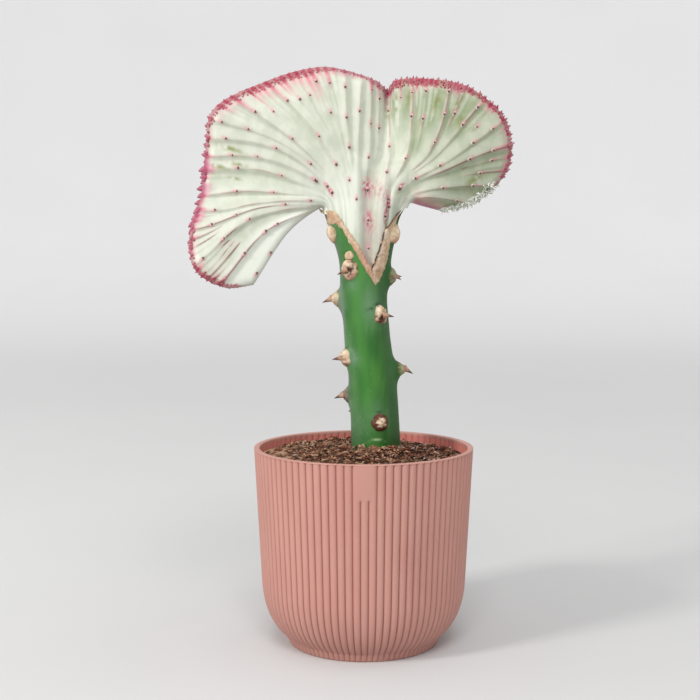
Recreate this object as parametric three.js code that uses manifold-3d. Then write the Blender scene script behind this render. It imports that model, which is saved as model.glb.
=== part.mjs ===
// A potted coral cactus: a crested fan grafted on a green spiny rootstock, in a fluted pot.
// Millimetres. +Z is up, -Y is the front. The origin is the centre of the pot's underside.
import * as THREE from 'three';
import { mergeVertices } from 'three/addons/utils/BufferGeometryUtils.js';
import Module from 'manifold-3d';

const wasm = await Module();
wasm.setup();

// Driving dimensions of the pot
const POT_HEIGHT = 126;
const RIM_RADIUS = 70;
const SHOULDER_HEIGHT = 38; // the bowl starts to curve in below this
const SHOULDER_RADIUS = 65.3;
const BOWL_PULL = { radius: 63.6, height: 16 }; // control point of the bowl's curve
const FOOT_HEIGHT = 5.5;
const FOOT_TOP_RADIUS = 50.3;
const FOOT_RADIUS = 48;
const WALL = 3.6;
const LIP_ROUND = 0.9;
const FLOOR = 4;
const FLUTES = 88;
const FLUTE_DEPTH = 0.9;
const PANEL_HEIGHT = 22; // the plain panel hangs this far down the front from the rim
const PANEL_GROOVES = [0, FLUTES - 1]; // the two grooves that start below the panel
const FRONT = -Math.PI / 2;

// Driving dimensions of the plant
const GAP = 0.3; // running gap between pieces that touch
const GRAFT_REACH = 30; // the cuts at the graft reach this far past it
const GRAFT_FLOOR = 200;
const GRAFT_CEILING = 320;
const SOIL_LEVEL = 120.4;
const SOIL_TILT = 0.018; // higher on the left
const SOIL_MOUND = 4;
const SOIL_MOUND_REACH = 26;
const STEM_SIDES = 30;
const STEM_FOOT = 75;
const STEM_TOP = 282;
const STEM_STEP = 8; // between the rings of points up the stem
const STEM_RIBS = 5;
const STEM_RIB_RELIEF = 0.035;
const STEM_RIB_TURN = 0.35;

// The stem's line, bottom to top: height, centre x, centre y, half width, half depth
const STEM_LINE = [
  [75, 8.6, 6.4, 14.6, 14.6],
  [100, 8.2, 6.2, 15.4, 15.2],
  [120, 7.6, 6.0, 15.7, 15.4],
  [142, 6.8, 5.2, 15.6, 15.4],
  [169, 5.0, 4.0, 15.2, 15.2],
  [188, 2.6, 3.0, 14.8, 14.9],
  [204, 1.2, 2.0, 14.5, 14.7],
  [219, -0.2, 1.2, 14.5, 14.7],
  [230, -0.5, 0.6, 15.0, 14.9],
  [243, 0.2, 0.2, 16.3, 15.3],
  [253, -0.1, 0, 18.3, 15.6],
  [266, -0.7, 0, 21.0, 15.6],
  [274, -0.5, 0, 23.5, 15.2],
  [284, 1.8, 0, 28.0, 14.4],
];

// The graft seen from the front, left to right: the lower edge of the callus, then its upper edge
const CALLUS_LOWER = [
  [-26, 267.4], [-17.6, 266.9], [-14.3, 264.4], [-8.1, 253.2], [7.2, 228.2],
  [12.5, 248.8], [15.7, 261.8], [17.6, 270.4], [21, 274], [30, 275],
];
const CALLUS_UPPER = [
  [-25.4, 275.2], [-19.4, 275], [-15.6, 272], [-9.1, 264], [-0.6, 249], [5.2, 239.6],
  [9.1, 248.4], [12.1, 258.9], [15.7, 269.4], [20.4, 277.2], [24, 280], [29.5, 281],
];
const CALLUS_PROUD = 0.5; // how far the scar stands out of the stem
const CALLUS_FOOT = 222;
const CALLUS_TOP = 281.2;

// The crest's guides, from the lower edge of the left lobe, over the top, to that of the right
// lobe. Each runs from inside the graft, over the neck and the fan's middle, to the margin.
const CREST_GUIDES = [
  { base: [-25.1, 274.4], neck: [-26, 275.9], middle: [-47.6, -5, 264.4], edge: [-63, -12, 235.7] },
  { base: [-24.6, 273.4], neck: [-27.2, 277.6], middle: [-63.1, -8, 267.4], edge: [-84.1, -20, 230.4] },
  { base: [-23.4, 272], neck: [-27.6, 279.4], middle: [-69.8, -9, 273], edge: [-103.5, -22, 240.9] },
  { base: [-21.9, 270.3], neck: [-27.2, 281.4], middle: [-68.1, -7, 278.7], edge: [-107.8, -16, 260] },
  { base: [-19.9, 267.8], neck: [-26.2, 283.4], middle: [-63.9, -4, 285], edge: [-100.6, -8, 284.2] },
  { base: [-17.4, 264.4], neck: [-23.9, 286], middle: [-57.6, -3, 301.2], edge: [-97.2, -4, 312.3] },
  { base: [-14.4, 260.4], neck: [-20, 288.3], middle: [-47.5, -3, 314.8], edge: [-92.6, -6, 338] },
  { base: [-10.9, 255.6], neck: [-14.6, 289.6], middle: [-32.5, -3, 318.5], edge: [-63.7, 0, 355.3] },
  { base: [-7, 250.6], neck: [-8.6, 290], middle: [-15, -3, 319.8], edge: [-27.5, 2, 365.4] },
  { base: [-3, 245.4], neck: [-2.6, 289.8], middle: [-1.2, -2, 318], edge: [-1.2, 4, 360.7] },
  { base: [1, 240.6], neck: [2.8, 289.2], middle: [8.3, 0, 315.7], edge: [10.2, 8, 355.9] },
  { base: [5.2, 236.4], neck: [7.3, 288.6], middle: [14, 3, 314], edge: [15.1, 12, 352.3] },
  { base: [9, 241.4], neck: [11.6, 288.6], middle: [19, 2, 313.3], edge: [20.2, 4, 357.3] },
  { base: [12.5, 247.6], neck: [16, 288.8], middle: [29.5, -2, 313.7], edge: [39.6, -8, 356.8] },
  { base: [15.8, 254.4], neck: [20.4, 288.8], middle: [42.5, -4, 313.5], edge: [65.2, -12, 350.8] },
  { base: [19.2, 261.6], neck: [24.7, 288], middle: [53.8, -4, 305.5], edge: [88, -8, 331] },
  { base: [22.4, 268.4], neck: [28, 286], middle: [54.2, 0, 294.5], edge: [91.1, 4, 302.8] },
  { base: [25.4, 274.4], neck: [29.8, 283.2], middle: [45.7, 3, 284.6], edge: [73.1, 12, 283] },
  { base: [28, 278.6], neck: [29.9, 280.6], middle: [36.9, 4, 278.9], edge: [49.4, 10, 275.9] },
];
const CREST_STAGES = [0, 0.3, 0.62, 1]; // where a guide's four points lie between graft and margin
const CREST_COLUMNS = 104;
const CREST_ROWS = 8;
const CREST_RIBS = 26;
const CREST_RIB_RELIEF = 0.7;
const CREST_THICKNESS = 12; // at half height
const CREST_MARGIN_THICKNESS = 8;
const CREST_EDGE_THICKNESS = 3;

// The spine shields: angle round the stem from the front, height, half width, half height,
// tubercle height, and for each spine its turn sideways, its turn downwards and its length
const SHIELDS = [
  { angle: -72, height: 261.5, size: [4.6, 6.0], tubercle: 1.6, spines: [] },
  { angle: -34, height: 239.6, size: [5.0, 6.0], tubercle: 2.6, spines: [[-0.9, 0.5, 6.5]] },
  { angle: -92, height: 220.5, size: [4.2, 5.2], tubercle: 5.0, spines: [[0, 0.35, 6.5]] },
  { angle: 74, height: 261, size: [4.8, 5.6], tubercle: 1.8, spines: [] },
  { angle: 92, height: 234.5, size: [4.0, 5.6], tubercle: 4.2, spines: [[0, -0.1, 3.6], [0, 0.5, 3.6]] },
  { angle: 42, height: 211.4, size: [4.8, 5.2], tubercle: 2.6, spines: [[0.75, 0.1, 6.5]] },
  { angle: -68, height: 183.6, size: [4.6, 5.0], tubercle: 2.4, spines: [[-0.35, 0.1, 6.5]] },
  { angle: 94, height: 175.6, size: [3.6, 4.4], tubercle: 5.4, spines: [[0, 0.5, 6.5]] },
  { angle: -95, height: 158.4, size: [3.8, 5.2], tubercle: 2.8, spines: [[0, 0.3, 6.5]] },
  { angle: 14, height: 142.6, size: [5.0, 5.0], tubercle: 1.4, spines: [] },
  { angle: 180, height: 243, size: [4.8, 5.4], tubercle: 3.0, spines: [[-0.4, 0.3, 6.5], [0.4, 0.3, 6.5]] },
  { angle: -146, height: 203, size: [4.4, 5.2], tubercle: 3.6, spines: [[0, 0.3, 6.5]] },
  { angle: 146, height: 219, size: [4.6, 5.0], tubercle: 3.2, spines: [[0.3, 0.2, 6.5]] },
  { angle: 168, height: 168, size: [4.6, 5.0], tubercle: 2.8, spines: [[-0.4, 0.3, 6.5], [0.4, 0.3, 6.5]] },
  { angle: -140, height: 147, size: [4.4, 4.8], tubercle: 2.4, spines: [[0, 0.2, 6.5]] },
];
const SHIELD_THICKNESS = 2.2; // how far a shield's dome stands out of its tubercle
const SPINE_RADIUS = 1.5;
const TUBERCLE_WIDTH = 7;
const TUBERCLE_RISE = 10;

const material = (color, roughness) =>
  new THREE.MeshStandardMaterial({ color, roughness, metalness: 0 });
const POT_PLASTIC = material('#c98f80', 0.62);
const POTTING_MIX = material('#5b4636', 0.95);
const STEM_SKIN = material('#3f7a3a', 0.45);
const CALLUS_CORK = material('#b4946f', 0.85);
const CREST_SKIN = material('#dde2cf', 0.5);
const SHIELD_HORN = material('#c9a581', 0.65);

// Smooth step from 0 to 1 between two values
function smooth(low, high, x) {
  const t = Math.min(1, Math.max(0, (x - low) / (high - low)));
  return t * t * (3 - 2 * t);
}

// A smooth curve through values at rising knots, with slopes from the neighbours on each side
function through(knots, values, x) {
  const last = knots.length - 1;
  let i = 0;
  while (i < last - 1 && x > knots[i + 1]) i += 1;
  const slope = (k) => {
    const a = Math.max(0, k - 1);
    const b = Math.min(last, k + 1);
    return (values[b] - values[a]) / (knots[b] - knots[a]);
  };
  const span = knots[i + 1] - knots[i];
  const t = (x - knots[i]) / span;
  const rise = values[i + 1] - values[i];
  const easing = t * t * (3 - 2 * t);
  const leave = span * slope(i) * t * (1 - t) * (1 - t);
  const arrive = span * slope(i + 1) * t * t * (t - 1);
  return values[i] + rise * easing + leave + arrive;
}

// A geometry from points and triangles, with equal points merged
function geometryOf(points, triangles) {
  const geometry = new THREE.BufferGeometry();
  geometry.setAttribute('position', new THREE.Float32BufferAttribute(points.flat(), 3));
  geometry.setIndex(triangles.flat());
  return mergeVertices(geometry, 1e-4);
}

// A closed body through rings of points, counter-clockwise seen from above, closed at both ends
// by a fan to a centre point. A ring may have half as many points as the one before it.
function ringsToGeometry(start, rings, end) {
  const points = [start, ...rings.flat(), end];
  const firsts = [];
  rings.reduce((first, ring) => {
    firsts.push(first);
    return first + ring.length;
  }, 1);
  const triangles = [];
  const at = (ring, i) => firsts[ring] + (i % rings[ring].length);
  const last = rings.length - 1;
  rings[0].forEach((_, i) => triangles.push([0, at(0, i + 1), at(0, i)]));
  rings[last].forEach((_, i) => triangles.push([points.length - 1, at(last, i), at(last, i + 1)]));
  for (let ring = 0; ring < last; ring += 1) {
    const stride = rings[ring].length / rings[ring + 1].length;
    rings[ring + 1].forEach((_, i) => {
      const far = [at(ring + 1, i), at(ring + 1, i + 1)];
      const near = at(ring, stride * i);
      const next = at(ring, stride * i + 1);
      triangles.push([near, next, far[0]], [next, far[1], far[0]]);
      if (stride === 2) triangles.push([next, at(ring, stride * i + 2), far[1]]);
    });
  }
  return geometryOf(points, triangles);
}

// Solids for joining and cutting
function toSolid(geometry) {
  const bare = geometry.clone();
  bare.deleteAttribute('normal');
  bare.deleteAttribute('uv');
  const merged = mergeVertices(bare, 1e-4);
  return new wasm.Manifold(new wasm.Mesh({
    numProp: 3,
    vertProperties: new Float32Array(merged.attributes.position.array),
    triVerts: new Uint32Array(merged.index.array),
  }));
}

function fromSolid(solid) {
  const mesh = solid.getMesh();
  const geometry = new THREE.BufferGeometry();
  geometry.setAttribute('position', new THREE.BufferAttribute(mesh.vertProperties, 3));
  geometry.setIndex(new THREE.BufferAttribute(mesh.triVerts, 1));
  return geometry;
}

// The pot's outside as heights and radii: foot, bowl curve, then a straight taper to the rim
function outerProfile() {
  const outer = [[0, FOOT_RADIUS], [FOOT_HEIGHT, FOOT_TOP_RADIUS]];
  for (const t of [0.78, 0.52, 0.26, 0]) {
    const a = (1 - t) ** 2;
    const b = 2 * t * (1 - t);
    const c = t * t;
    outer.push([
      a * SHOULDER_HEIGHT + b * BOWL_PULL.height + c * FOOT_HEIGHT,
      a * SHOULDER_RADIUS + b * BOWL_PULL.radius + c * FOOT_TOP_RADIUS,
    ]);
  }
  const taper = (z) => THREE.MathUtils.mapLinear(
    z, SHOULDER_HEIGHT, POT_HEIGHT, SHOULDER_RADIUS, RIM_RADIUS);
  const panelFoot = POT_HEIGHT - PANEL_HEIGHT;
  for (const z of [panelFoot - 1, panelFoot + 1, POT_HEIGHT - LIP_ROUND]) {
    outer.push([z, taper(z)]);
  }
  return outer;
}

// The pot's inside as heights and radii, from the rim down to the floor
const INNER_PROFILE = [
  [POT_HEIGHT - LIP_ROUND, RIM_RADIUS - WALL],
  [SHOULDER_HEIGHT, SHOULDER_RADIUS - WALL],
  [22, 58.8],
  [10, 50.4],
  [FLOOR, 41],
];

function buildPot() {
  const flutedRing = ([z, radius]) => Array.from({ length: 2 * FLUTES }, (_, i) => {
    const angle = FRONT + (i * Math.PI) / FLUTES;
    const onPanel = PANEL_GROOVES.includes((i - 1) / 2) && z > POT_HEIGHT - PANEL_HEIGHT;
    const r = radius - (i % 2 === 1 && !onPanel ? FLUTE_DEPTH : 0);
    return [r * Math.cos(angle), r * Math.sin(angle), z];
  });
  const plainRing = ([z, radius]) => Array.from({ length: FLUTES }, (_, i) => {
    const angle = FRONT + (2 * i * Math.PI) / FLUTES;
    return [radius * Math.cos(angle), radius * Math.sin(angle), z];
  });
  const lip = [POT_HEIGHT, RIM_RADIUS - LIP_ROUND];
  const lipInside = [POT_HEIGHT, RIM_RADIUS - WALL + LIP_ROUND];
  const rings = [
    ...outerProfile().map(flutedRing),
    ...[lip, lipInside, ...INNER_PROFILE].map(plainRing),
  ];
  return ringsToGeometry([0, 0, 0], rings, [0, 0, FLOOR]);
}

// The stem's centre and half axes at a height
const STEM_HEIGHTS = STEM_LINE.map((row) => row[0]);
function stemAt(z) {
  const [x, y, a, b] = [1, 2, 3, 4].map((column) =>
    through(STEM_HEIGHTS, STEM_LINE.map((row) => row[column]), z));
  return { x, y, a, b };
}

// A point on the stem's skin, grown outwards by `grow`. Angle 0 faces the front, + is right.
function stemSkin(z, angle, grow, tubercles) {
  const { x, y, a, b } = stemAt(z);
  const relief = 1 + STEM_RIB_RELIEF * Math.cos(STEM_RIBS * (angle - STEM_RIB_TURN));
  let swell = grow;
  if (tubercles) {
    for (const shield of SHIELDS) {
      const turn = angle - THREE.MathUtils.degToRad(shield.angle);
      const across = Math.atan2(Math.sin(turn), Math.cos(turn)) * a / TUBERCLE_WIDTH;
      const along = (z - shield.height) / TUBERCLE_RISE;
      swell += shield.tubercle * Math.exp(-3 * (across * across + along * along));
    }
  }
  return [
    x + (a * relief + swell) * Math.sin(angle),
    y - (b * relief + swell) * Math.cos(angle),
    z,
  ];
}

function stemGeometry(grow, tubercles, bottom, top) {
  const rings = [];
  const steps = Math.round((top - bottom) / STEM_STEP);
  for (let k = 0; k <= steps; k += 1) {
    const z = bottom + ((top - bottom) * k) / steps;
    rings.push(Array.from({ length: STEM_SIDES }, (_, i) =>
      stemSkin(z, (2 * Math.PI * i) / STEM_SIDES, grow, tubercles)));
  }
  const low = stemAt(bottom);
  const high = stemAt(top);
  return ringsToGeometry([low.x, low.y, bottom], rings, [high.x, high.y, top]);
}

// A polyline moved sideways by a distance, to its left as it runs
function offsetLine(line, distance) {
  return line.map(([x, z], i) => {
    const before = line[Math.max(0, i - 1)];
    const after = line[Math.min(line.length - 1, i + 1)];
    const one = new THREE.Vector2(x - before[0], z - before[1]).normalize();
    const two = new THREE.Vector2(after[0] - x, after[1] - z).normalize();
    const mean = one.clone().add(two).normalize();
    const bend = Math.max(0.35, i === 0 || i === line.length - 1 ? 1 : mean.dot(two));
    return [x - (mean.y * distance) / bend, z + (mean.x * distance) / bend];
  });
}

// A slab through the graft in depth, with its outline drawn as seen from the front
function graftSlab(outline) {
  const halfDepth = GRAFT_REACH;
  const shape = new THREE.Shape(outline.map(([x, z]) => new THREE.Vector2(x, z)));
  const slab = new THREE.ExtrudeGeometry(shape, { depth: 2 * halfDepth, bevelEnabled: false });
  slab.rotateX(Math.PI / 2);
  slab.translate(0, halfDepth, 0);
  return toSolid(slab);
}

// All that lies above a line, past its ends too
function aboveLine(line) {
  const left = line[0];
  const right = line[line.length - 1];
  const past = [[left[0] - GRAFT_REACH, left[1]], ...line, [right[0] + GRAFT_REACH, right[1]]];
  return graftSlab([...past, [past[past.length - 1][0], GRAFT_CEILING], [past[0][0], GRAFT_CEILING]]);
}

// All that lies below a line, between its ends
function belowLine(line) {
  const left = line[0][0];
  const right = line[line.length - 1][0];
  return graftSlab([[left, GRAFT_FLOOR], [right, GRAFT_FLOOR], ...[...line].reverse()]);
}

function buildStem() {
  const whole = toSolid(stemGeometry(0, true, STEM_FOOT, STEM_TOP));
  return fromSolid(whole.subtract(aboveLine(CALLUS_LOWER)));
}

function buildCallus() {
  const body = toSolid(stemGeometry(CALLUS_PROUD, false, CALLUS_FOOT, CALLUS_TOP));
  const scar = body
    .subtract(belowLine(offsetLine(CALLUS_LOWER, GAP)))
    .subtract(aboveLine(CALLUS_UPPER));
  return fromSolid(scar);
}

// The stem grown by the running gap, for seating what touches it
const stemClearance = toSolid(stemGeometry(GAP, true, STEM_FOOT - GAP, STEM_TOP));

function buildShield(shield) {
  const angle = THREE.MathUtils.degToRad(shield.angle);
  const outward = new THREE.Vector3(Math.sin(angle), -Math.cos(angle), 0);
  const sideways = new THREE.Vector3(Math.cos(angle), Math.sin(angle), 0);
  const up = new THREE.Vector3(0, 0, 1);
  const seat = new THREE.Vector3(...stemSkin(shield.height, angle, 0, true));
  const frame = new THREE.Matrix4().makeBasis(sideways, up, outward).setPosition(seat);
  const dome = new THREE.SphereGeometry(1, 9, 6);
  dome.scale(shield.size[0], shield.size[1], SHIELD_THICKNESS);
  let body = toSolid(dome);
  for (const [aside, down, length] of shield.spines) {
    const spine = new THREE.ConeGeometry(SPINE_RADIUS, length, 6);
    spine.translate(0, length / 2, 0);
    spine.rotateX(Math.PI / 2 + down);
    spine.rotateY(aside);
    body = body.add(toSolid(spine));
  }
  const geometry = fromSolid(body).applyMatrix4(frame);
  return fromSolid(toSolid(geometry).subtract(stemClearance));
}

// The crest's middle surface: u runs along the margin, v from the graft to the margin
function crestKnots() {
  const knots = [0];
  for (let k = 1; k < CREST_GUIDES.length; k += 1) {
    const a = CREST_GUIDES[k - 1].edge;
    const b = CREST_GUIDES[k].edge;
    knots.push(knots[k - 1] + Math.hypot(b[0] - a[0], b[1] - a[1], b[2] - a[2]));
  }
  return knots.map((length) => length / knots[knots.length - 1]);
}

const CREST_KNOTS = crestKnots();
function crestPoint(u, v) {
  const alongMargin = (pick) => through(CREST_KNOTS, CREST_GUIDES.map(pick), u);
  return [0, 1, 2].map((axis) => through(CREST_STAGES, [
    axis === 1 ? 0 : alongMargin((guide) => guide.base[axis / 2]),
    axis === 1 ? 0 : alongMargin((guide) => guide.neck[axis / 2]),
    alongMargin((guide) => guide.middle[axis]),
    alongMargin((guide) => guide.edge[axis]),
  ], v));
}

// Half the crest's thickness: the stem's own depth at the graft, thinner towards the margin
function crestHalf(u, v, point) {
  const { x, a, b } = stemAt(Math.min(point[2], 284));
  const across = Math.min(1, Math.abs(point[0] - x) / a);
  const neck = b * Math.sqrt(1 - across * across);
  const fan = THREE.MathUtils.lerp(CREST_THICKNESS, CREST_MARGIN_THICKNESS, v) / 2;
  const blend = smooth(0.15, 0.6, v);
  const ribs = CREST_RIB_RELIEF * Math.cos(2 * Math.PI * CREST_RIBS * u) * smooth(0.15, 0.6, v);
  const full = Math.max(fan, THREE.MathUtils.lerp(neck, fan, blend)) + ribs;
  const margin = Math.sqrt(Math.max(0, 1 - smooth(0.86, 1, v) ** 2));
  const side = Math.sqrt(smooth(-0.004, 0.03, u) * smooth(-0.004, 0.03, 1 - u));
  const rounded = Math.min(margin, side);
  return Math.max(CREST_EDGE_THICKNESS / 2, full * rounded);
}

function buildCrest() {
  const points = [];
  const count = CREST_COLUMNS + 1;
  for (let row = 0; row <= CREST_ROWS; row += 1) {
    const v = row / CREST_ROWS;
    for (const side of [-1, 1]) {
      for (let i = 0; i < count; i += 1) {
        const column = side < 0 ? i : count - 1 - i;
        const u = column / CREST_COLUMNS;
        const point = crestPoint(u, v);
        points.push([point[0], point[1] + side * crestHalf(u, v, point), point[2]]);
      }
    }
  }
  const loop = 2 * count;
  const triangles = [];
  for (let row = 0; row < CREST_ROWS; row += 1) {
    for (let i = 0; i < loop; i += 1) {
      const j = (i + 1) % loop;
      const low = row * loop;
      const high = low + loop;
      triangles.push([low + i, low + j, high + j], [low + i, high + j, high + i]);
    }
  }
  const top = CREST_ROWS * loop;
  for (let i = 0; i < count - 1; i += 1) {
    const j = loop - 1 - i;
    triangles.push([i + 1, i, j], [i + 1, j, j - 1]);
    triangles.push([top + i, top + i + 1, top + j], [top + i + 1, top + j - 1, top + j]);
  }
  const fan = toSolid(geometryOf(points, triangles));
  return fromSolid(fan.subtract(belowLine(offsetLine(CALLUS_UPPER, GAP))));
}

// The potting mix fills the pot to a little below the rim, with a socket for the stem
function buildPottingMix() {
  const segments = 44;
  const inset = GAP + 0.2; // the wall's flats lie a little inside its radius
  const surface = (x, y) => {
    const stem = stemAt(SOIL_LEVEL);
    const reach = Math.hypot(x - stem.x, y - stem.y) / SOIL_MOUND_REACH;
    const lumps = 0.5 * Math.sin(x * 0.31 + 1.2) * Math.cos(y * 0.27) + 0.3 * Math.sin(0.7 * y + x);
    return SOIL_LEVEL - SOIL_TILT * x + SOIL_MOUND * Math.exp(-reach * reach) + lumps;
  };
  const ring = (radius, heightAt) => Array.from({ length: segments }, (_, i) => {
    const angle = (2 * Math.PI * i) / segments;
    const x = radius * Math.cos(angle);
    const y = radius * Math.sin(angle);
    return [x, y, heightAt(x, y)];
  });
  const wall = [...INNER_PROFILE].reverse().slice(1, -1);
  const topRadius = RIM_RADIUS - WALL - 2 * inset;
  const rings = [
    ring(INNER_PROFILE[INNER_PROFILE.length - 1][1] - inset, () => FLOOR + GAP),
    ...wall.map(([z, r]) => ring(r - inset, () => z + GAP)),
    ...[1, 0.8, 0.6, 0.4, 0.2].map((share) => ring(topRadius * share, surface)),
  ];
  const mix = toSolid(ringsToGeometry([0, 0, FLOOR + GAP], rings, [0, 0, surface(0, 0)]));
  return fromSolid(mix.subtract(stemClearance));
}

const plant = new THREE.Group();

function addPiece(name, geometry, skin) {
  const mesh = new THREE.Mesh(geometry, skin);
  mesh.name = name;
  plant.add(mesh);
}

addPiece('pot', buildPot(), POT_PLASTIC);
addPiece('potting_mix', buildPottingMix(), POTTING_MIX);
addPiece('rootstock_stem', buildStem(), STEM_SKIN);
addPiece('graft_callus', buildCallus(), CALLUS_CORK);
addPiece('crest', buildCrest(), CREST_SKIN);
SHIELDS.forEach((shield, i) => {
  addPiece(`spine_shield_${String(i + 1).padStart(2, '0')}`, buildShield(shield), SHIELD_HORN);
});

export default plant;
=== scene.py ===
"""The looks of a potted coral cactus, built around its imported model.

Lengths are in millimetres in the numbers below and become metres in the meshes. +Z is up, -Y is
the front and +X is to the right. u runs along the crest's margin from the lower left lobe over
the top to the right lobe, and v from the graft (0) to the margin (1).
"""

import math

import bpy
import numpy as np
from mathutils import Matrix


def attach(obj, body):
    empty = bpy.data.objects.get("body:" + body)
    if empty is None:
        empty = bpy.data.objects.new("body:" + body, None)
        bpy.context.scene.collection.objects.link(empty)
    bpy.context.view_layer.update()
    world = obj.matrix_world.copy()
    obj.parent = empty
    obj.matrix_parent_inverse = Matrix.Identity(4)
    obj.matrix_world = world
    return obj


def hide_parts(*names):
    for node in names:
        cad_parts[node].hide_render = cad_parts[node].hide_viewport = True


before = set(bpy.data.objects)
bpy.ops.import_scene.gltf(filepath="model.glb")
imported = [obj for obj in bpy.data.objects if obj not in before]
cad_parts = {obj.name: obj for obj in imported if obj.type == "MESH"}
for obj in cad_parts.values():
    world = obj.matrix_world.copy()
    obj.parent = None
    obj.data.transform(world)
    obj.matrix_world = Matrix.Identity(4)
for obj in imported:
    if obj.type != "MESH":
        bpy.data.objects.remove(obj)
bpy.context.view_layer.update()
MM = 0.001

# The camera, fitted to the pot's rim, foot and sides
CAMERA_PLACE = (-8.7, -816.0, 258.0)
CAMERA_PITCH = 4.92
CAMERA_LENS = 66.2

# The stage: where its floor starts to bend up, the bend's radius, and what the lights aim at
STAGE_REACH = 2400.0
STAGE_BEND = 3000.0
AIM_HEIGHT = 190.0
# Each light: degrees to the right of the front, degrees up, distance, size, watts and colour
KEY_LIGHT = (-54, 28, 2400, 420, 31, (1.0, 0.985, 0.96))
FRONT_LIGHT = (0, 46, 2400, 1000, 27, (1.0, 1.0, 1.0))
ROOM_LIGHT = 0.725
# How many times brighter than its own colour a surface looks where the light falls on its front
LIGHT_GAIN = 1.22

# The pot
POT_HEIGHT = 126.0
RIM_RADIUS = 70.0
SHOULDER_HEIGHT = 38.0
SHOULDER_RADIUS = 65.3
BOWL_PULL = (63.6, 16.0)
FOOT_HEIGHT = 5.5
FOOT_TOP_RADIUS = 50.3
FOOT_RADIUS = 48.0
WALL = 3.6
LIP_ROUND = 0.5
FLOOR = 4.0
FLUTES = 88
FLUTE_DEPTH = 1.4
INSIDE_FLUTE_DEPTH = 0.7
PANEL_FOOT = 104.0
FRONT = -math.pi / 2

# The potting mix
SOIL_LEVEL = 120.4
SOIL_TILT = 0.018
SOIL_MOUND = 4.0
SOIL_MOUND_REACH = 26.0
STEM_IN_SOIL = (7.6, 6.0)
STEM_CLEARANCE = 15.2
CRUMBS = 2400
FIBRES = 2300
# How many of the fibres lie in the tangle in front of the stem
TANGLED_FIBRES = 260

# The stem, bottom to top: height, centre x, centre y, half width, half depth
STEM_FOOT = 75.0
STEM_STRAIGHT_TOP = 225.0
STEM_LINE = np.array([
    [75, 8.6, 6.4, 14.6, 14.6],
    [100, 8.2, 6.2, 15.4, 15.2],
    [120, 7.6, 6.0, 15.7, 15.4],
    [142, 6.8, 5.2, 15.6, 15.4],
    [169, 5.0, 4.0, 15.2, 15.2],
    [188, 2.6, 3.0, 14.8, 14.9],
    [204, 1.2, 2.0, 14.5, 14.7],
    [219, -0.2, 1.2, 14.5, 14.7],
    [230, -0.5, 0.6, 15.0, 14.9],
    [243, 0.2, 0.2, 16.3, 15.3],
    [253, -0.1, 0, 18.3, 15.6],
    [266, -0.7, 0, 21.0, 15.6],
    [274, -0.5, 0, 23.5, 15.2],
    [284, 1.8, 0, 28.0, 14.4],
])
STEM_RADIUS = 15.0
STEM_RIBS = 5
STEM_RIB_RELIEF = 0.035
STEM_RIB_TURN = 0.35

# Marks on the stem: mask, angle round it, height, half width, half height and strength
STEM_MARKS = (
    ("dark", 17, 214.6, 2.6, 0.8, 1.0),
    ("dark", 38, 217.8, 3.4, 0.9, 1.0),
    ("dark", 80, 198.6, 0.8, 0.9, 1.2),
    ("dark", 78, 191.0, 0.9, 0.9, 1.2),
    ("dark", -56, 189.6, 1.7, 0.9, 1.0),
    ("dark", 12, 149.4, 1.8, 0.8, 1.0),
    ("scratch", 4, 131.8, 4.0, 0.5, 0.9),
    ("scratch", -52, 188.6, 3.0, 1.2, 0.35),
    ("bloom", -38, 184.0, 3.4, 5.0, 0.9),
    ("bloom", -26, 229.5, 3.0, 4.0, 0.7),
    ("bloom", 60, 175.0, 3.0, 4.0, 0.5),
    ("bloom", -44, 140.0, 8.0, 13.0, 0.55),
    ("bloom", 8, 150.0, 9.0, 8.0, 0.3),
)

# The graft from the front, left to right: the callus's lower and upper edges, point for point
CALLUS_LOWER = np.array([
    [-28.0, 276.4], [-24.2, 272.6], [-22.6, 266.6], [-17.2, 266.6], [-13.4, 263.8], [-6.8, 252.5],
    [-1.8, 243.4], [7.2, 228.4], [9.6, 233.0], [13.0, 240.5], [15.8, 251.5], [18.0, 261.5],
    [22.7, 273.2], [27.0, 279.2],
])
CALLUS_UPPER = np.array([
    [-28.2, 277.0], [-24.6, 275.6], [-20.6, 275.4], [-17.0, 274.0], [-12.2, 266.4], [-3.6, 254.6],
    [1.2, 245.6], [4.9, 239.2], [5.9, 242.0], [7.3, 246.0], [9.9, 252.6], [12.6, 262.2],
    [19.2, 271.6], [26.2, 280.0],
])
CALLUS_PROUD = 0.9

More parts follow.
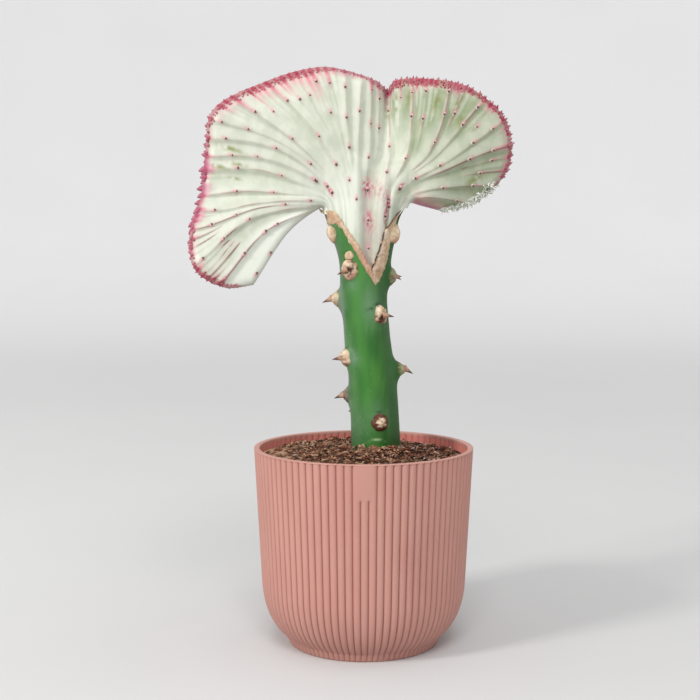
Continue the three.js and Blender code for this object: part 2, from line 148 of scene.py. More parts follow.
# The crest's guides: base (x, z) and neck (x, z) near the graft, then middle and edge (x, y, z)
CREST_GUIDES = [
    ((-25.1, 274.4), (-28.5, 276.9), (-47.8, -7, 261.5), (-68.8, -15, 229.6)),
    ((-24.6, 273.4), (-28.8, 278.2), (-62.0, -8, 264.8), (-86.1, -20, 228.2)),
    ((-23.4, 272), (-27.6, 279.4), (-69.8, -9, 272), (-103.9, -22, 238.9)),
    ((-21.9, 270.3), (-27.2, 281.4), (-68.1, -7, 278.7), (-107.8, -16, 260)),
    ((-19.9, 267.8), (-26.2, 283.4), (-63.9, -4, 285), (-101.8, -8, 284.2)),
    ((-17.4, 264.4), (-23.9, 286), (-58.4, -3, 301.2), (-99.0, -4, 312.3)),
    ((-14.4, 260.4), (-20, 288.3), (-48.0, -3, 314.8), (-93.9, -6, 338)),
    ((-10.9, 255.6), (-14.6, 289.6), (-32.5, -3, 318.5), (-63.7, 0, 355.3)),
    ((-7, 250.6), (-8.6, 290), (-15, -3, 319.8), (-27.5, 2, 365.4)),
    ((-3, 245.4), (-2.6, 289.8), (-1.2, -2, 318), (-1.2, 4, 360.7)),
    ((1, 240.6), (2.8, 289.2), (8.3, 0, 315.7), (10.2, 8, 355.9)),
    ((5.2, 236.4), (7.3, 288.6), (14, 3, 314), (15.1, 12, 352.3)),
    ((9, 241.4), (11.6, 288.6), (19, 2, 313.3), (20.2, 4, 357.3)),
    ((12.5, 247.6), (16, 288.8), (29.5, -2, 313.7), (39.6, -8, 356.8)),
    ((15.8, 254.4), (20.4, 288.8), (42.5, -4, 313.5), (65.2, -12, 350.8)),
    ((19.2, 261.6), (24.7, 288), (53.8, -4, 305.5), (88, -8, 331)),
    ((22.4, 268.4), (28, 286), (54.2, 0, 294.5), (91.1, 4, 302.8)),
    ((25.4, 274.4), (29.8, 283.2), (45.7, 3, 284.6), (73.1, 12, 283)),
    ((28, 278.6), (29.9, 280.6), (36.9, 4, 278.9), (49.4, 10, 275.9)),
]
CREST_STAGES = (0, 0.3, 0.62, 1)
CREST_THICKNESS = 12.0
CREST_MARGIN_THICKNESS = 8.0
# The u of the crease between the lobes, and how far in from its sides the fan is rounded
CREST_SPLIT = 0.597
CREST_EDGE_ROUND = 5.0
# The v where the skin starts to turn over at the margin, and the rows of points in that turn
RIM_START = 0.93
RIM_ROWS = 24
# About how long the fan is from the graft to the margin
FAN_LENGTH = 120.0
# How fast a ridge's flanks fall, and how much steeper the lower flank is than the upper one
FLANK_SLOPE = 0.34
FLANK_TILT = 0.5
# The pale threads under the right lobe's end
FILAMENTS = 330

# The crest's ridges: where each rises out (v), its u near the neck, halfway and near the margin,
# and the v of each tubercle on it
RIDGES = [
    (0.40, 0.015, 0.033, 0.048, (0.56, 0.63, 0.79, 0.94)),
    (0.30, 0.070, 0.084, 0.094, (0.63, 0.79, 0.93)),
    (0.25, 0.100, 0.122, 0.146, (0.47, 0.71, 0.86)),
    (0.20, 0.137, 0.155, 0.178, (0.36, 0.87)),
    (0.25, 0.200, 0.213, 0.203, (0.56, 0.77)),
    (0.30, 0.255, 0.260, 0.242, (0.55, 0.79)),
    (0.20, 0.296, 0.287, 0.262, (0.39, 0.71, 0.84)),
    (0.15, 0.315, 0.312, 0.288, (0.28, 0.34, 0.65, 0.89)),
    (0.25, 0.337, 0.330, 0.313, (0.48, 0.81, 0.93)),
    (0.30, 0.370, 0.362, 0.360, (0.65, 0.86)),
    (0.55, 0.400, 0.390, 0.383, (0.83,)),
    (0.20, 0.450, 0.438, 0.414, (0.45, 0.64, 0.86)),
    (0.55, 0.466, 0.455, 0.436, (0.85,)),
    (0.60, 0.480, 0.472, 0.458, (0.86,)),
    (0.15, 0.494, 0.494, 0.479, (0.34, 0.76, 0.92)),
    (0.65, 0.505, 0.505, 0.501, (0.91,)),
    (0.30, 0.516, 0.518, 0.528, (0.57, 0.74, 0.90)),
    (0.12, 0.537, 0.545, 0.553, (0.24, 0.79)),
    (0.30, 0.573, 0.570, 0.570, (0.52, 0.74, 0.93)),
    (0.60, 0.588, 0.585, 0.583, (0.73, 0.90)),
    (0.20, 0.632, 0.609, 0.602, (0.42, 0.64, 0.86)),
    (0.55, 0.645, 0.640, 0.635, (0.90,)),
    (0.30, 0.692, 0.668, 0.655, (0.55, 0.80, 0.92)),
    (0.50, 0.710, 0.692, 0.678, (0.79, 0.93)),
    (0.35, 0.745, 0.734, 0.712, (0.66, 0.82, 0.94)),
    (0.60, 0.755, 0.745, 0.734, (0.84,)),
    (0.20, 0.762, 0.760, 0.764, (0.31, 0.81, 0.93)),
    (0.60, 0.775, 0.780, 0.785, (0.85,)),
    (0.20, 0.788, 0.798, 0.806, (0.41, 0.56, 0.78, 0.91)),
    (0.35, 0.810, 0.827, 0.843, (0.73, 0.88)),
    (0.60, 0.835, 0.846, 0.860, (0.87,)),
    (0.50, 0.860, 0.870, 0.882, (0.81,)),
    (0.30, 0.900, 0.905, 0.910, (0.59, 0.82)),
    (0.35, 0.940, 0.948, 0.955, (0.84,)),
]
RIDGE_STAGES = (0.3, 0.62, 0.95)

# The margin, along u: depth of the crimson band, reach of the pink streaks, length and stoutness
# of the teeth, spacing of the finest ribs, how far the colour leans to mauve (1) or to pale green
# (-1), and the strength of the dark lines on the ridges, which are partly painted shade
MARGIN_COLUMNS = ("u", "band", "streaks", "length", "stoutness", "spacing", "lean", "lines")
MARGIN = np.array([
    [0.000, 0.4, 1, 1.0, 1.0, 8.0, -0.9, 0.1],
    [0.010, 0.8, 2, 1.0, 1.0, 7.0, -0.7, 0.2],
    [0.026, 5.0, 6, 1.3, 1.1, 4.4, 0.0, 0.9],
    [0.060, 6.0, 10, 1.5, 1.1, 4.0, 0.0, 1.0],
    [0.085, 4.4, 10, 1.6, 1.1, 4.6, 0.1, 1.0],
    [0.110, 3.2, 9, 1.8, 1.3, 6.0, 0.4, 0.9],
    [0.135, 5.0, 12, 2.2, 1.5, 5.0, 0.3, 0.8],
    [0.165, 4.0, 11, 3.0, 1.9, 6.4, 0.8, 0.6],
    [0.240, 3.6, 10, 3.1, 1.9, 6.4, 1.0, 0.4],
    [0.285, 3.6, 8, 2.2, 1.7, 6.0, 0.7, 0.3],
    [0.320, 5.2, 10, 1.3, 1.5, 5.0, 0.4, 0.2],
    [0.345, 7.4, 20, 1.1, 1.4, 5.0, 0.1, 0.15],
    [0.400, 7.6, 26, 0.9, 1.5, 5.0, 0.0, 0.1],
    [0.470, 7.2, 26, 0.9, 1.5, 5.0, 0.0, 0.1],
    [0.510, 3.4, 12, 0.8, 1.4, 5.6, 0.4, 0.1],
    [0.550, 2.6, 7, 1.0, 1.3, 5.4, 0.6, 0.2],
    [0.575, 5.0, 9, 1.2, 1.2, 4.6, 0.3, 0.3],
    [0.610, 7.4, 11, 1.5, 1.2, 3.5, 0.1, 0.5],
    [0.720, 7.0, 11, 1.5, 1.2, 3.6, 0.0, 0.6],
    [0.765, 4.4, 9, 1.8, 1.2, 5.0, 0.0, 0.8],
    [0.840, 4.4, 13, 2.2, 1.2, 6.0, 0.0, 0.9],
    [0.900, 3.4, 10, 1.8, 1.2, 6.0, -0.1, 0.8],
    [0.915, 1.2, 4, 1.4, 1.0, 7.0, -0.9, 0.5],
    [1.000, 0.6, 3, 1.0, 1.0, 7.0, -1.0, 0.3],
])

# The frill's rows: side (front -1, back 1), v and scale
FRILL_ROWS = (
    (-1, 0.984, 0.9), (-1, 0.972, 0.85), (-1, 0.960, 0.8), (-1, 0.947, 0.75),
    (1, 0.984, 0.9), (1, 0.968, 0.8), (1, 0.950, 0.7), (0, 0.995, 0.8), (0, 0.999, 0.9),
)

# Spots in the neck beside the ridges' own: u, v and size
NECK_SPOTS = (
    (0.590, 0.075, 0.8), (0.588, 0.17, 1.0), (0.581, 0.29, 1.2), (0.668, 0.17, 1.1),
    (0.698, 0.205, 1.2), (0.683, 0.245, 1.0), (0.762, 0.30, 1.3), (0.317, 0.285, 0.9),
    (0.315, 0.33, 1.0), (0.294, 0.40, 1.1), (0.004, 0.77, 1.0), (0.006, 0.91, 1.0),
)

# Stains on the neck: u, v and strength of each pink or crimson blotch
NECK_STAINS = (
    (0.588, 0.17, 0.8), (0.581, 0.30, 0.7), (0.573, 0.33, 0.6), (0.698, 0.20, 1.0),
    (0.683, 0.24, 1.0), (0.668, 0.17, 0.8), (0.762, 0.315, 1.0), (0.640, 0.27, 0.4),
    (0.610, 0.30, 0.35), (0.655, 0.25, 0.4), (0.317, 0.28, 0.5), (0.305, 0.30, 0.4),
)
# Grooves down the neck: u, depth, half width along u, and the v that the hollow and the shade reach
NECK_GROOVES = ((0.584, 2.4, 0.020, 0.55, 0.45), (0.690, 1.7, 0.018, 0.42, 0.36))

# Olive patches on the fan: u, v, half width along u and half length along v
OLIVE_PATCHES = (
    (0.258, 0.80, 0.0035, 0.05), (0.280, 0.86, 0.004, 0.07), (0.205, 0.77, 0.003, 0.02),
    (0.603, 0.85, 0.007, 0.06), (0.757, 0.83, 0.010, 0.04), (0.895, 0.80, 0.014, 0.05),
    (0.700, 0.88, 0.006, 0.05), (0.650, 0.89, 0.004, 0.05), (0.233, 0.80, 0.003, 0.035),
    (0.248, 0.91, 0.004, 0.06), (0.626, 0.88, 0.004, 0.06), (0.735, 0.90, 0.005, 0.05),
)

# The spine shields: angle round the stem from the front, height, half width, half height,
# tubercle height, then each spine's turn sideways, its turn downwards and its length, and the
# shield's form
SHIELDS = [
    (-72, 261.5, 4.6, 6.0, 1.6, (), "nub"),
    (-34, 239.6, 5.0, 6.0, 2.6, ((-0.9, 0.5, 6.5),), "hollow"),
    (-92, 220.5, 4.2, 5.2, 5.0, ((0, 0.35, 6.5),), "cone"),
    (74, 261, 4.8, 5.6, 1.8, (), "nub"),
    (92, 234.5, 4.0, 5.6, 4.2, ((0, -0.1, 3.6), (0, 0.5, 3.6)), "dark"),
    (42, 210.8, 5.0, 6.0, 2.6, ((0.75, 0.1, 6.5),), "low"),
    (-66, 183.2, 4.9, 5.8, 2.4, ((-0.35, 0.1, 6.5),), "pad"),
    (94, 175.6, 3.6, 4.4, 5.4, ((0, 0.5, 6.5),), "green"),
    (-95, 158.4, 3.8, 5.2, 2.8, ((0, 0.3, 6.5),), "grey"),
    (14, 142.6, 5.0, 5.0, 1.4, (), "scab"),
    (180, 243, 4.8, 5.4, 3.0, ((-0.4, 0.3, 6.5), (0.4, 0.3, 6.5)), "hollow"),
    (-146, 203, 4.4, 5.2, 3.6, ((0, 0.3, 6.5),), "cone"),
    (146, 219, 4.6, 5.0, 3.2, ((0.3, 0.2, 6.5),), "pad"),
    (168, 168, 4.6, 5.0, 2.8, ((-0.4, 0.3, 6.5), (0.4, 0.3, 6.5)), "hollow"),
    (-140, 147, 4.4, 4.8, 2.4, ((0, 0.2, 6.5),), "grey"),
]
# Each form: dome height, rim height, depth of the hollow and its place (across, up), height of
# the cone in the middle, and how dark, how green and how grey it is
SHIELD_FORMS = {
    "nub": (2.4, 0.0, 0.2, 0.3, 0.2, 0.0, 0.10, 0.10, 0.0),
    "hollow": (1.6, 0.8, 1.9, 0.22, -0.16, 0.8, 1.3, 0.0, 0.0),
    "low": (1.8, 0.8, 1.9, -0.3, -0.38, 1.0, 1.4, 0.0, 0.0),
    "pad": (1.8, 0.5, 0.7, 0.15, -0.05, 1.6, 0.6, 0.0, 0.0),
    "cone": (0.8, 0.1, 0.0, 0.0, 0.0, 3.0, 0.3, 0.3, 0.0),
    "green": (1.0, 0.1, 0.0, 0.0, 0.0, 2.2, 1.2, 0.8, 0.0),
    "grey": (0.8, 0.1, 0.0, 0.0, 0.0, 3.0, 0.5, 0.1, 0.85),
    "dark": (0.9, 0.5, 0.3, 0.1, 0.0, 1.0, 0.9, 0.75, 0.3),
    "scab": (1.2, 0.3, -0.9, 0.0, 0.05, 0.0, 0.9, 0.0, 0.0),
}
SHIELD_SIDES = 40
# The swelling of the stem under each shield
TUBERCLE_WIDTH = 7.0
TUBERCLE_RISE = 10.0
# The small lump above shield 02: its turn and height beyond the shield's, half width, half height
LUMP = (2, 8.2, 2.6, 2.8)


# Shape helpers
def smooth(low, high, x):
    """Smooth step from 0 at low to 1 at high."""
    t = np.clip((np.asarray(x, float) - low) / (high - low), 0, 1)
    return t * t * (3 - 2 * t)


def through(knots, values, x):
    """A smooth curve through values at rising knots, its slopes taken from the neighbours."""
    knots = np.asarray(knots, float)
    values = np.asarray(values, float)
    x = np.asarray(x, float)
    places = np.arange(len(knots))
    low = np.maximum(places - 1, 0)
    high = np.minimum(places + 1, len(knots) - 1)
    extra = (1,) * (values.ndim - 1)
    slopes = (values[high] - values[low]) / (knots[high] - knots[low]).reshape((-1,) + extra)
    i = np.clip(np.searchsorted(knots, x) - 1, 0, len(knots) - 2)
    span = knots[i + 1] - knots[i]
    t = ((x - knots[i]) / span).reshape(x.shape + extra)
    span = span.reshape(x.shape + extra)
    bend = slopes[i] * (1 - t) - slopes[i + 1] * t
    return values[i] + (values[i + 1] - values[i]) * t * t * (3 - 2 * t) + span * t * (1 - t) * bend


def chance(keys, seed):
    """A steady random number from 0 to 1 for each whole-number key."""
    spread = np.sin(np.asarray(keys, float) * 12.9898 + seed * 78.233) * 43758.5453
    return spread - np.floor(spread)


def bell(*offsets):
    """1 where every offset is 0, falling off as e to the minus the sum of their squares."""
    return np.exp(-sum(offset ** 2 for offset in offsets))


def full_turn(sides):
    """The angles of equal steps round a circle."""
    return 2 * math.pi * np.arange(sides) / sides


def drift(points, size, seed):
    """Smooth random values from 0 to 1 in space: random corners of cells `size` wide, eased."""
    scaled = np.asarray(points, float) / size
    cell = np.floor(scaled)
    t = scaled - cell
    t = t * t * (3 - 2 * t)
    total = np.zeros(scaled.shape[:-1])
    for corner in np.ndindex(2, 2, 2):
        offset = np.array(corner)
        value = chance((cell + offset) @ np.array([1.0, 57.31, 113.77]), seed)
        weight = np.where(offset == 1, t, 1 - t).prod(axis=-1)
        total += value * weight
    return total


def drift_at(x, y, z, size, seed):
    """Drift at points whose three coordinates are given apart."""
    return drift(np.stack(np.broadcast_arrays(x, y, z), -1), size, seed)


def unit(vectors):
    """The same directions at length 1."""
    return vectors / np.maximum(np.linalg.norm(vectors, axis=-1, keepdims=True), 1e-9)


def put(name, points, faces, material, replaced=(), slot=None, **values):
    """Puts points (mm) and faces into a mesh object that rides on the root body.

    Faces is a list of index arrays, each of triangles or quads. A closed mesh whose signed volume
    is negative is turned the right way out. Each extra value becomes a point attribute."""
    points = np.asarray(points, float).reshape(-1, 3)
    volume = 0.0
    for part in faces:
        for second in range(1, part.shape[1] - 1):
            a, b, c = points[part[:, 0]], points[part[:, second]], points[part[:, second + 1]]
            volume += np.einsum("ij,ij->", a, np.cross(b, c))
    if volume < 0:
        faces = [part[:, ::-1] for part in faces]
    sizes = np.concatenate([np.full(len(part), part.shape[1]) for part in faces])
    corners = np.concatenate([part.ravel() for part in faces]).astype(np.int32)
    mesh = bpy.data.meshes.new(name)
    mesh.vertices.add(len(points))
    mesh.vertices.foreach_set("co", (points * MM).astype(np.float32).ravel())
    mesh.loops.add(len(corners))
    mesh.loops.foreach_set("vertex_index", corners)
    mesh.polygons.add(len(sizes))
    starts = np.concatenate([[0], np.cumsum(sizes)[:-1]]).astype(np.int32)
    mesh.polygons.foreach_set("loop_start", starts)
    mesh.update(calc_edges=True)
    mesh.validate()
    mesh.polygons.foreach_set("use_smooth", np.ones(len(mesh.polygons), bool))
    for key, numbers in values.items():
        layer = mesh.attributes.new(key, "FLOAT", "POINT")
        layer.data.foreach_set("value", np.asarray(numbers, np.float32).ravel())
    mesh.materials.append(material)
    piece = bpy.data.objects.new(name, mesh)
    bpy.context.scene.collection.objects.link(piece)
    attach(piece, "root")
    if replaced:
        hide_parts(*replaced)
    return piece


def loft_faces(count, rings, sides, strip=False):
    """Faces of `count` closed lofts, each of `rings` rings of `sides` points.

    With strip, the ends are closed by quads between opposite points of the ring. Without it, each
    loft has a first and a last point, and the ends are closed by fans to them."""
    size = rings * sides + (0 if strip else 2)
    first = 0 if strip else 1
    ring, side = np.meshgrid(np.arange(rings - 1), np.arange(sides), indexing="ij")
    near = first + ring * sides + side
    turned = first + ring * sides + (side + 1) % sides
    walls = np.stack([near, turned, turned + sides, near + sides], -1).reshape(-1, 4)
    top = first + (rings - 1) * sides
    if strip:
        i = np.arange(sides // 2 - 1)
        start = np.stack([i + 1, i, sides - 1 - i, sides - 2 - i], -1)
        end = (top + start)[:, ::-1]
        shapes = [np.concatenate([walls, start, end])]
    else:
        i = np.arange(sides)
        j = (i + 1) % sides
        start = np.stack([np.zeros_like(i), first + j, first + i], -1)
        end = np.stack([np.full_like(i, size - 1), top + i, top + j], -1)
        shapes = [walls, np.concatenate([start, end])]
    shift = (np.arange(count) * size)[:, None, None]
    return [(shape[None] + shift).reshape(-1, shape.shape[1]) for shape in shapes]


def with_ends(rings):
    """Adds the mean of the first and of the last ring, the fans' centres: (n, rings, sides, k)."""
    start = rings[:, 0].mean(axis=1, keepdims=True)
    end = rings[:, -1].mean(axis=1, keepdims=True)
    middle = rings.reshape(len(rings), -1, rings.shape[-1])
    return np.concatenate([start, middle, end], axis=1)


def tube(line, one, two, thick, sides):
    """Rings of points round a line of points. The directions one and two span each ring, and their
    lengths times thick are its half width and half depth."""
    turn = full_turn(sides)[:, None]
    circle = np.cos(turn) * one[..., None, :] + np.sin(turn) * two[..., None, :]
    return line[..., None, :] + thick[..., None, None] * circle


def per_loft(value, rings):
    """One value per loft, given to all its points."""
    return value[:, None, None] + np.zeros(rings.shape[:3])


def put_lofts(name, rings, material, **settings):
    """Puts many closed lofts in one mesh. Rings is (count, rings, sides, 3) in mm, and each value
    given with it is (count, rings, sides)."""
    count, ring_count, sides = rings.shape[:3]
    plain = {}
    for key, value in settings.items():
        is_value = isinstance(value, np.ndarray)
        plain[key] = with_ends(value[..., None])[..., 0] if is_value else value
    faces = loft_faces(count, ring_count, sides)
    return put(name, with_ends(rings), faces, material, **plain)


# Material helpers
def tint(red, green, blue):
    """A surface's colour from the 0 to 255 display values that it should have in this light."""
    shares = [c / 255 for c in (red, green, blue)]
    linear = [((c + 0.055) / 1.055) ** 2.4 if c > 0.04 else c / 12.92 for c in shares]
    return (*[c / LIGHT_GAIN for c in linear], 1.0)


def wire(tree, kind, settings=None, **inputs):
    """Adds a node, sets its properties, and sets or links its inputs by name or by number."""
    made = tree.nodes.new(kind)
    for key, value in (settings or {}).items():
        setattr(made, key, value)
    for key, value in inputs.items():
        socket = made.inputs[int(key[1:])] if key[0] == "_" else made.inputs[key.replace("_", " ")]
        if isinstance(value, bpy.types.NodeSocket):
            tree.links.new(value, socket)
        else:
            socket.default_value = value
    return made


def mask_math(tree, operation, a, b):
    """One arithmetic step between two values."""
    return wire(tree, "ShaderNodeMath", {"operation": operation}, _0=a, _1=b).outputs[0]


def between(tree, value, low, high):
    """0 below low, 1 above high, eased between."""
    settings = {"interpolation_type": "SMOOTHSTEP"}
    ends = {"From_Min": low, "From_Max": high}
    return wire(tree, "ShaderNodeMapRange", settings, Value=value, **ends).outputs[0]


def mixed(tree, factor, a, b):
    """Colour a turned into colour b by the factor."""
    return wire(tree, "ShaderNodeMix", {"data_type": "RGBA"}, _0=factor, _6=a, _7=b).outputs[2]


def reading(tree, name):
    """A point attribute's value."""
    settings = {"attribute_name": name, "attribute_type": "GEOMETRY"}
    return wire(tree, "ShaderNodeAttribute", settings).outputs["Fac"]


def painted(tree, colour, **shades):
    """The colour with each point attribute's own shade over it, in the order given."""
    for name, shade in shades.items():
        colour = mixed(tree, reading(tree, name), colour, tint(*shade))
    return colour


def new_group(name, inputs, outputs):
    """A shader group with float inputs (name: default) and named outputs (name: socket type)."""
    group = bpy.data.node_groups.new(name, "ShaderNodeTree")
    for key, default in inputs.items():
        socket = group.interface.new_socket(key, in_out="INPUT", socket_type="NodeSocketFloat")
        socket.default_value = default
    for key, kind in outputs.items():
        group.interface.new_socket(key, in_out="OUTPUT", socket_type=kind)
    start = group.nodes.new("NodeGroupInput")
    end = group.nodes.new("NodeGroupOutput")
    return group, start, end


def make_mottle():
    """Cloudy mask: noise of a size in millimetres, spread along Z, cut between two levels."""
    inputs = {"Size": 5.0, "Height": 1.0, "Low": 0.4, "High": 0.6, "Detail": 4.0}
    group, start, end = new_group("mottle", inputs, {"Mask": "NodeSocketFloat"})
    place = wire(group, "ShaderNodeTexCoord").outputs["Object"]
    per_metre = mask_math(group, "DIVIDE", 1 / MM, start.outputs["Size"])
    along = mask_math(group, "DIVIDE", per_metre, start.outputs["Height"])
    scale = wire(group, "ShaderNodeCombineXYZ", X=per_metre, Y=per_metre, Z=along).outputs[0]
    settings = {"operation": "MULTIPLY"}
    scaled = wire(group, "ShaderNodeVectorMath", settings, _0=place, _1=scale).outputs[0]
    noise = wire(group, "ShaderNodeTexNoise", Vector=scaled, Scale=1.0, Detail=start.outputs["Detail"])
    mask = between(group, noise.outputs["Fac"], start.outputs["Low"], start.outputs["High"])
    group.links.new(mask, end.inputs["Mask"])
    return group


def make_specks():
    """Dot mask: small round spots about `Size` apart, each `Spot` of that across, in random number."""
    inputs = {"Size": 3.0, "Spot": 0.2, "Share": 0.5}
    group, start, end = new_group("specks", inputs, {"Mask": "NodeSocketFloat"})
    place = wire(group, "ShaderNodeTexCoord").outputs["Object"]
    per_metre = mask_math(group, "DIVIDE", 1 / MM, start.outputs["Size"])
    cells = wire(group, "ShaderNodeTexVoronoi", Vector=place, Scale=per_metre)
    edge = mask_math(group, "MULTIPLY", start.outputs["Spot"], 0.6)
    far = between(group, cells.outputs["Distance"], edge, start.outputs["Spot"])
    near = mask_math(group, "SUBTRACT", 1.0, far)
    pick = wire(group, "ShaderNodeSeparateColor", Color=cells.outputs["Color"]).outputs[0]
    chosen = mask_math(group, "LESS_THAN", pick, start.outputs["Share"])
    group.links.new(mask_math(group, "MULTIPLY", near, chosen), end.inputs["Mask"])
    return group


def make_grain():
    """Surface grain as a normal: fine and coarse noise, sizes in millimetres, height in mm."""
    inputs = {"Fine": 0.5, "Coarse": 4.0, "Height": 0.1, "Share": 0.5}
    group, start, end = new_group("grain", inputs, {"Normal": "NodeSocketVector"})
    place = wire(group, "ShaderNodeTexCoord").outputs["Object"]
    fine_scale = mask_math(group, "DIVIDE", 1 / MM, start.outputs["Fine"])
    coarse_scale = mask_math(group, "DIVIDE", 1 / MM, start.outputs["Coarse"])
    fine = wire(group, "ShaderNodeTexNoise", Vector=place, Scale=fine_scale, Detail=2.0)
    coarse = wire(group, "ShaderNodeTexNoise", Vector=place, Scale=coarse_scale, Detail=3.0)
    kept = mask_math(group, "MULTIPLY", fine.outputs["Fac"], start.outputs["Share"])
    height = mask_math(group, "ADD", kept, coarse.outputs["Fac"])
    metres = mask_math(group, "MULTIPLY", start.outputs["Height"], MM)
    bump = wire(group, "ShaderNodeBump", Height=height, Distance=metres)
    group.links.new(bump.outputs[0], end.inputs["Normal"])
    return group


MOTTLE = make_mottle()
SPECKS = make_specks()
GRAIN = make_grain()


def using(tree, group, **inputs):
    """Places a shared group with its own values and gives its first output."""
    return wire(tree, "ShaderNodeGroup", {"node_tree": group}, **inputs).outputs[0]


def new_material(name, **constants):
    """A material with one Principled shader, its constants set on the shader's own sockets."""
    material = bpy.data.materials.new(name)
    material.use_nodes = True
    tree = material.node_tree
    tree.nodes.clear()
    output = tree.nodes.new("ShaderNodeOutputMaterial")
    shader = wire(tree, "ShaderNodeBsdfPrincipled", **constants)
    tree.links.new(shader.outputs[0], output.inputs["Surface"])
    return material, tree, shader


def finish_material(tree, shader, colour, roughness, normal):
    """Links the colour, roughness and normal to the shader."""
    tree.links.new(colour, shader.inputs["Base Color"])
    if isinstance(roughness, bpy.types.NodeSocket):
        tree.links.new(roughness, shader.inputs["Roughness"])
    else:
        shader.inputs["Roughness"].default_value = roughness
    tree.links.new(normal, shader.inputs["Normal"])


# Materials
def make_pot_plastic():
    """Dusty salmon moulded plastic: a little paler where dust lies, with painted shade deeper in the
    grooves and a painted reflection, redder and brighter, on the inside wall.
    """
    material, tree, shader = new_material("pot_plastic", Specular_IOR_Level=0.35)
    cloud = using(tree, MOTTLE, Size=26.0, Height=2.0, Low=0.35, High=0.65)
    colour = mixed(tree, cloud, tint(197, 143, 131), tint(202, 149, 137))
    # Painted reflection: the inside wall redder and brighter, as if lit by light bounced inside the pot.
    # Painted shade: darker in the grooves.
    colour = painted(tree, colour, inside=(214, 126, 114), groove=(172, 108, 95))
    dust = using(tree, SPECKS, Size=5.0, Spot=0.05, Share=0.25)
    colour = mixed(tree, dust, colour, tint(222, 180, 168))
    normal = using(tree, GRAIN, Fine=0.35, Coarse=9.0, Height=0.03, Share=0.8)
    finish_material(tree, shader, colour, 0.58, normal)
    return material


def make_stem_skin():
    """Waxy green skin with yellower clouds, grey bloom, scuffs and small dark spots."""
    material, tree, shader = new_material("stem_skin", Specular_IOR_Level=0.28)
    cloud = using(tree, MOTTLE, Size=9.0, Height=3.5, Low=0.35, High=0.7)
    colour = mixed(tree, cloud, tint(40, 98, 34), tint(64, 122, 46))
    streak = using(tree, MOTTLE, Size=2.4, Height=9.0, Low=0.5, High=0.8)
    streak = mask_math(tree, "MULTIPLY", streak, 0.35)
    colour = mixed(tree, streak, colour, tint(86, 136, 68))
    # The bright layer is a painted highlight down the front where the light falls. The deep layer is
    # painted shade on the right side, and deeper green also towards the foot.
    colour = painted(tree, colour, bright=(70, 138, 56), bloom=(104, 140, 104),
                     mauve=(126, 120, 126), deep=(30, 84, 26))
    spots = using(tree, SPECKS, Size=6.0, Spot=0.07, Share=0.3)
    colour = mixed(tree, spots, colour, tint(38, 58, 44))
    scuffs = using(tree, SPECKS, Size=2.2, Spot=0.14, Share=0.16)
    scuffs = mask_math(tree, "MULTIPLY", scuffs, 0.5)
    colour = mixed(tree, scuffs, colour, tint(150, 176, 140))
    colour = painted(tree, colour, dark=(30, 56, 46), scratch=(170, 196, 150))
    normal = using(tree, GRAIN, Fine=0.5, Coarse=5.0, Height=0.12, Share=0.5)
    finish_material(tree, shader, colour, 0.46, normal)
    return material


def make_callus_cork():
    """Dry tan cork with pinkish patches, darker cracks and a rough grain."""
    material, tree, shader = new_material("callus_cork", Specular_IOR_Level=0.2)
    cloud = using(tree, MOTTLE, Size=4.0, Height=1.5, Low=0.35, High=0.65)
    colour = mixed(tree, cloud, tint(200, 168, 134), tint(224, 200, 172))
    flecks = using(tree, MOTTLE, Size=1.3, Height=1.0, Low=0.58, High=0.7)
    colour = mixed(tree, mask_math(tree, "MULTIPLY", flecks, 0.55), colour, tint(146, 104, 74))
    colour = painted(tree, colour, rosy=(186, 128, 106), leafy=(138, 128, 80),
                     dry=(208, 204, 194), dark=(84, 50, 34))
    normal = using(tree, GRAIN, Fine=0.6, Coarse=2.0, Height=0.9, Share=0.6)
    finish_material(tree, shader, colour, 0.82, normal)
    return material


def make_shield_horn():
    """Horny tan shield: cream towards the rim, a dark brown hollow whose brown is partly painted shade,
    slate or red-brown spines.
    """
    material, tree, shader = new_material("shield_horn", Specular_IOR_Level=0.35)
    cloud = using(tree, MOTTLE, Size=2.6, Height=1.2, Low=0.35, High=0.65)
    colour = mixed(tree, cloud, tint(208, 174, 140), tint(238, 218, 192))
    colour = painted(tree, colour, rosy=(206, 140, 116), leafy=(112, 140, 84))
    cracks = using(tree, MOTTLE, Size=1.0, Height=1.6, Low=0.6, High=0.72)
    colour = mixed(tree, mask_math(tree, "MULTIPLY", cracks, 0.5), colour, tint(150, 106, 76))
    colour = painted(tree, colour, slate=(112, 104, 98), dark=(84, 42, 20))
    normal = using(tree, GRAIN, Fine=0.4, Coarse=1.4, Height=0.3, Share=0.6)
    finish_material(tree, shader, colour, 0.6, normal)
    return material


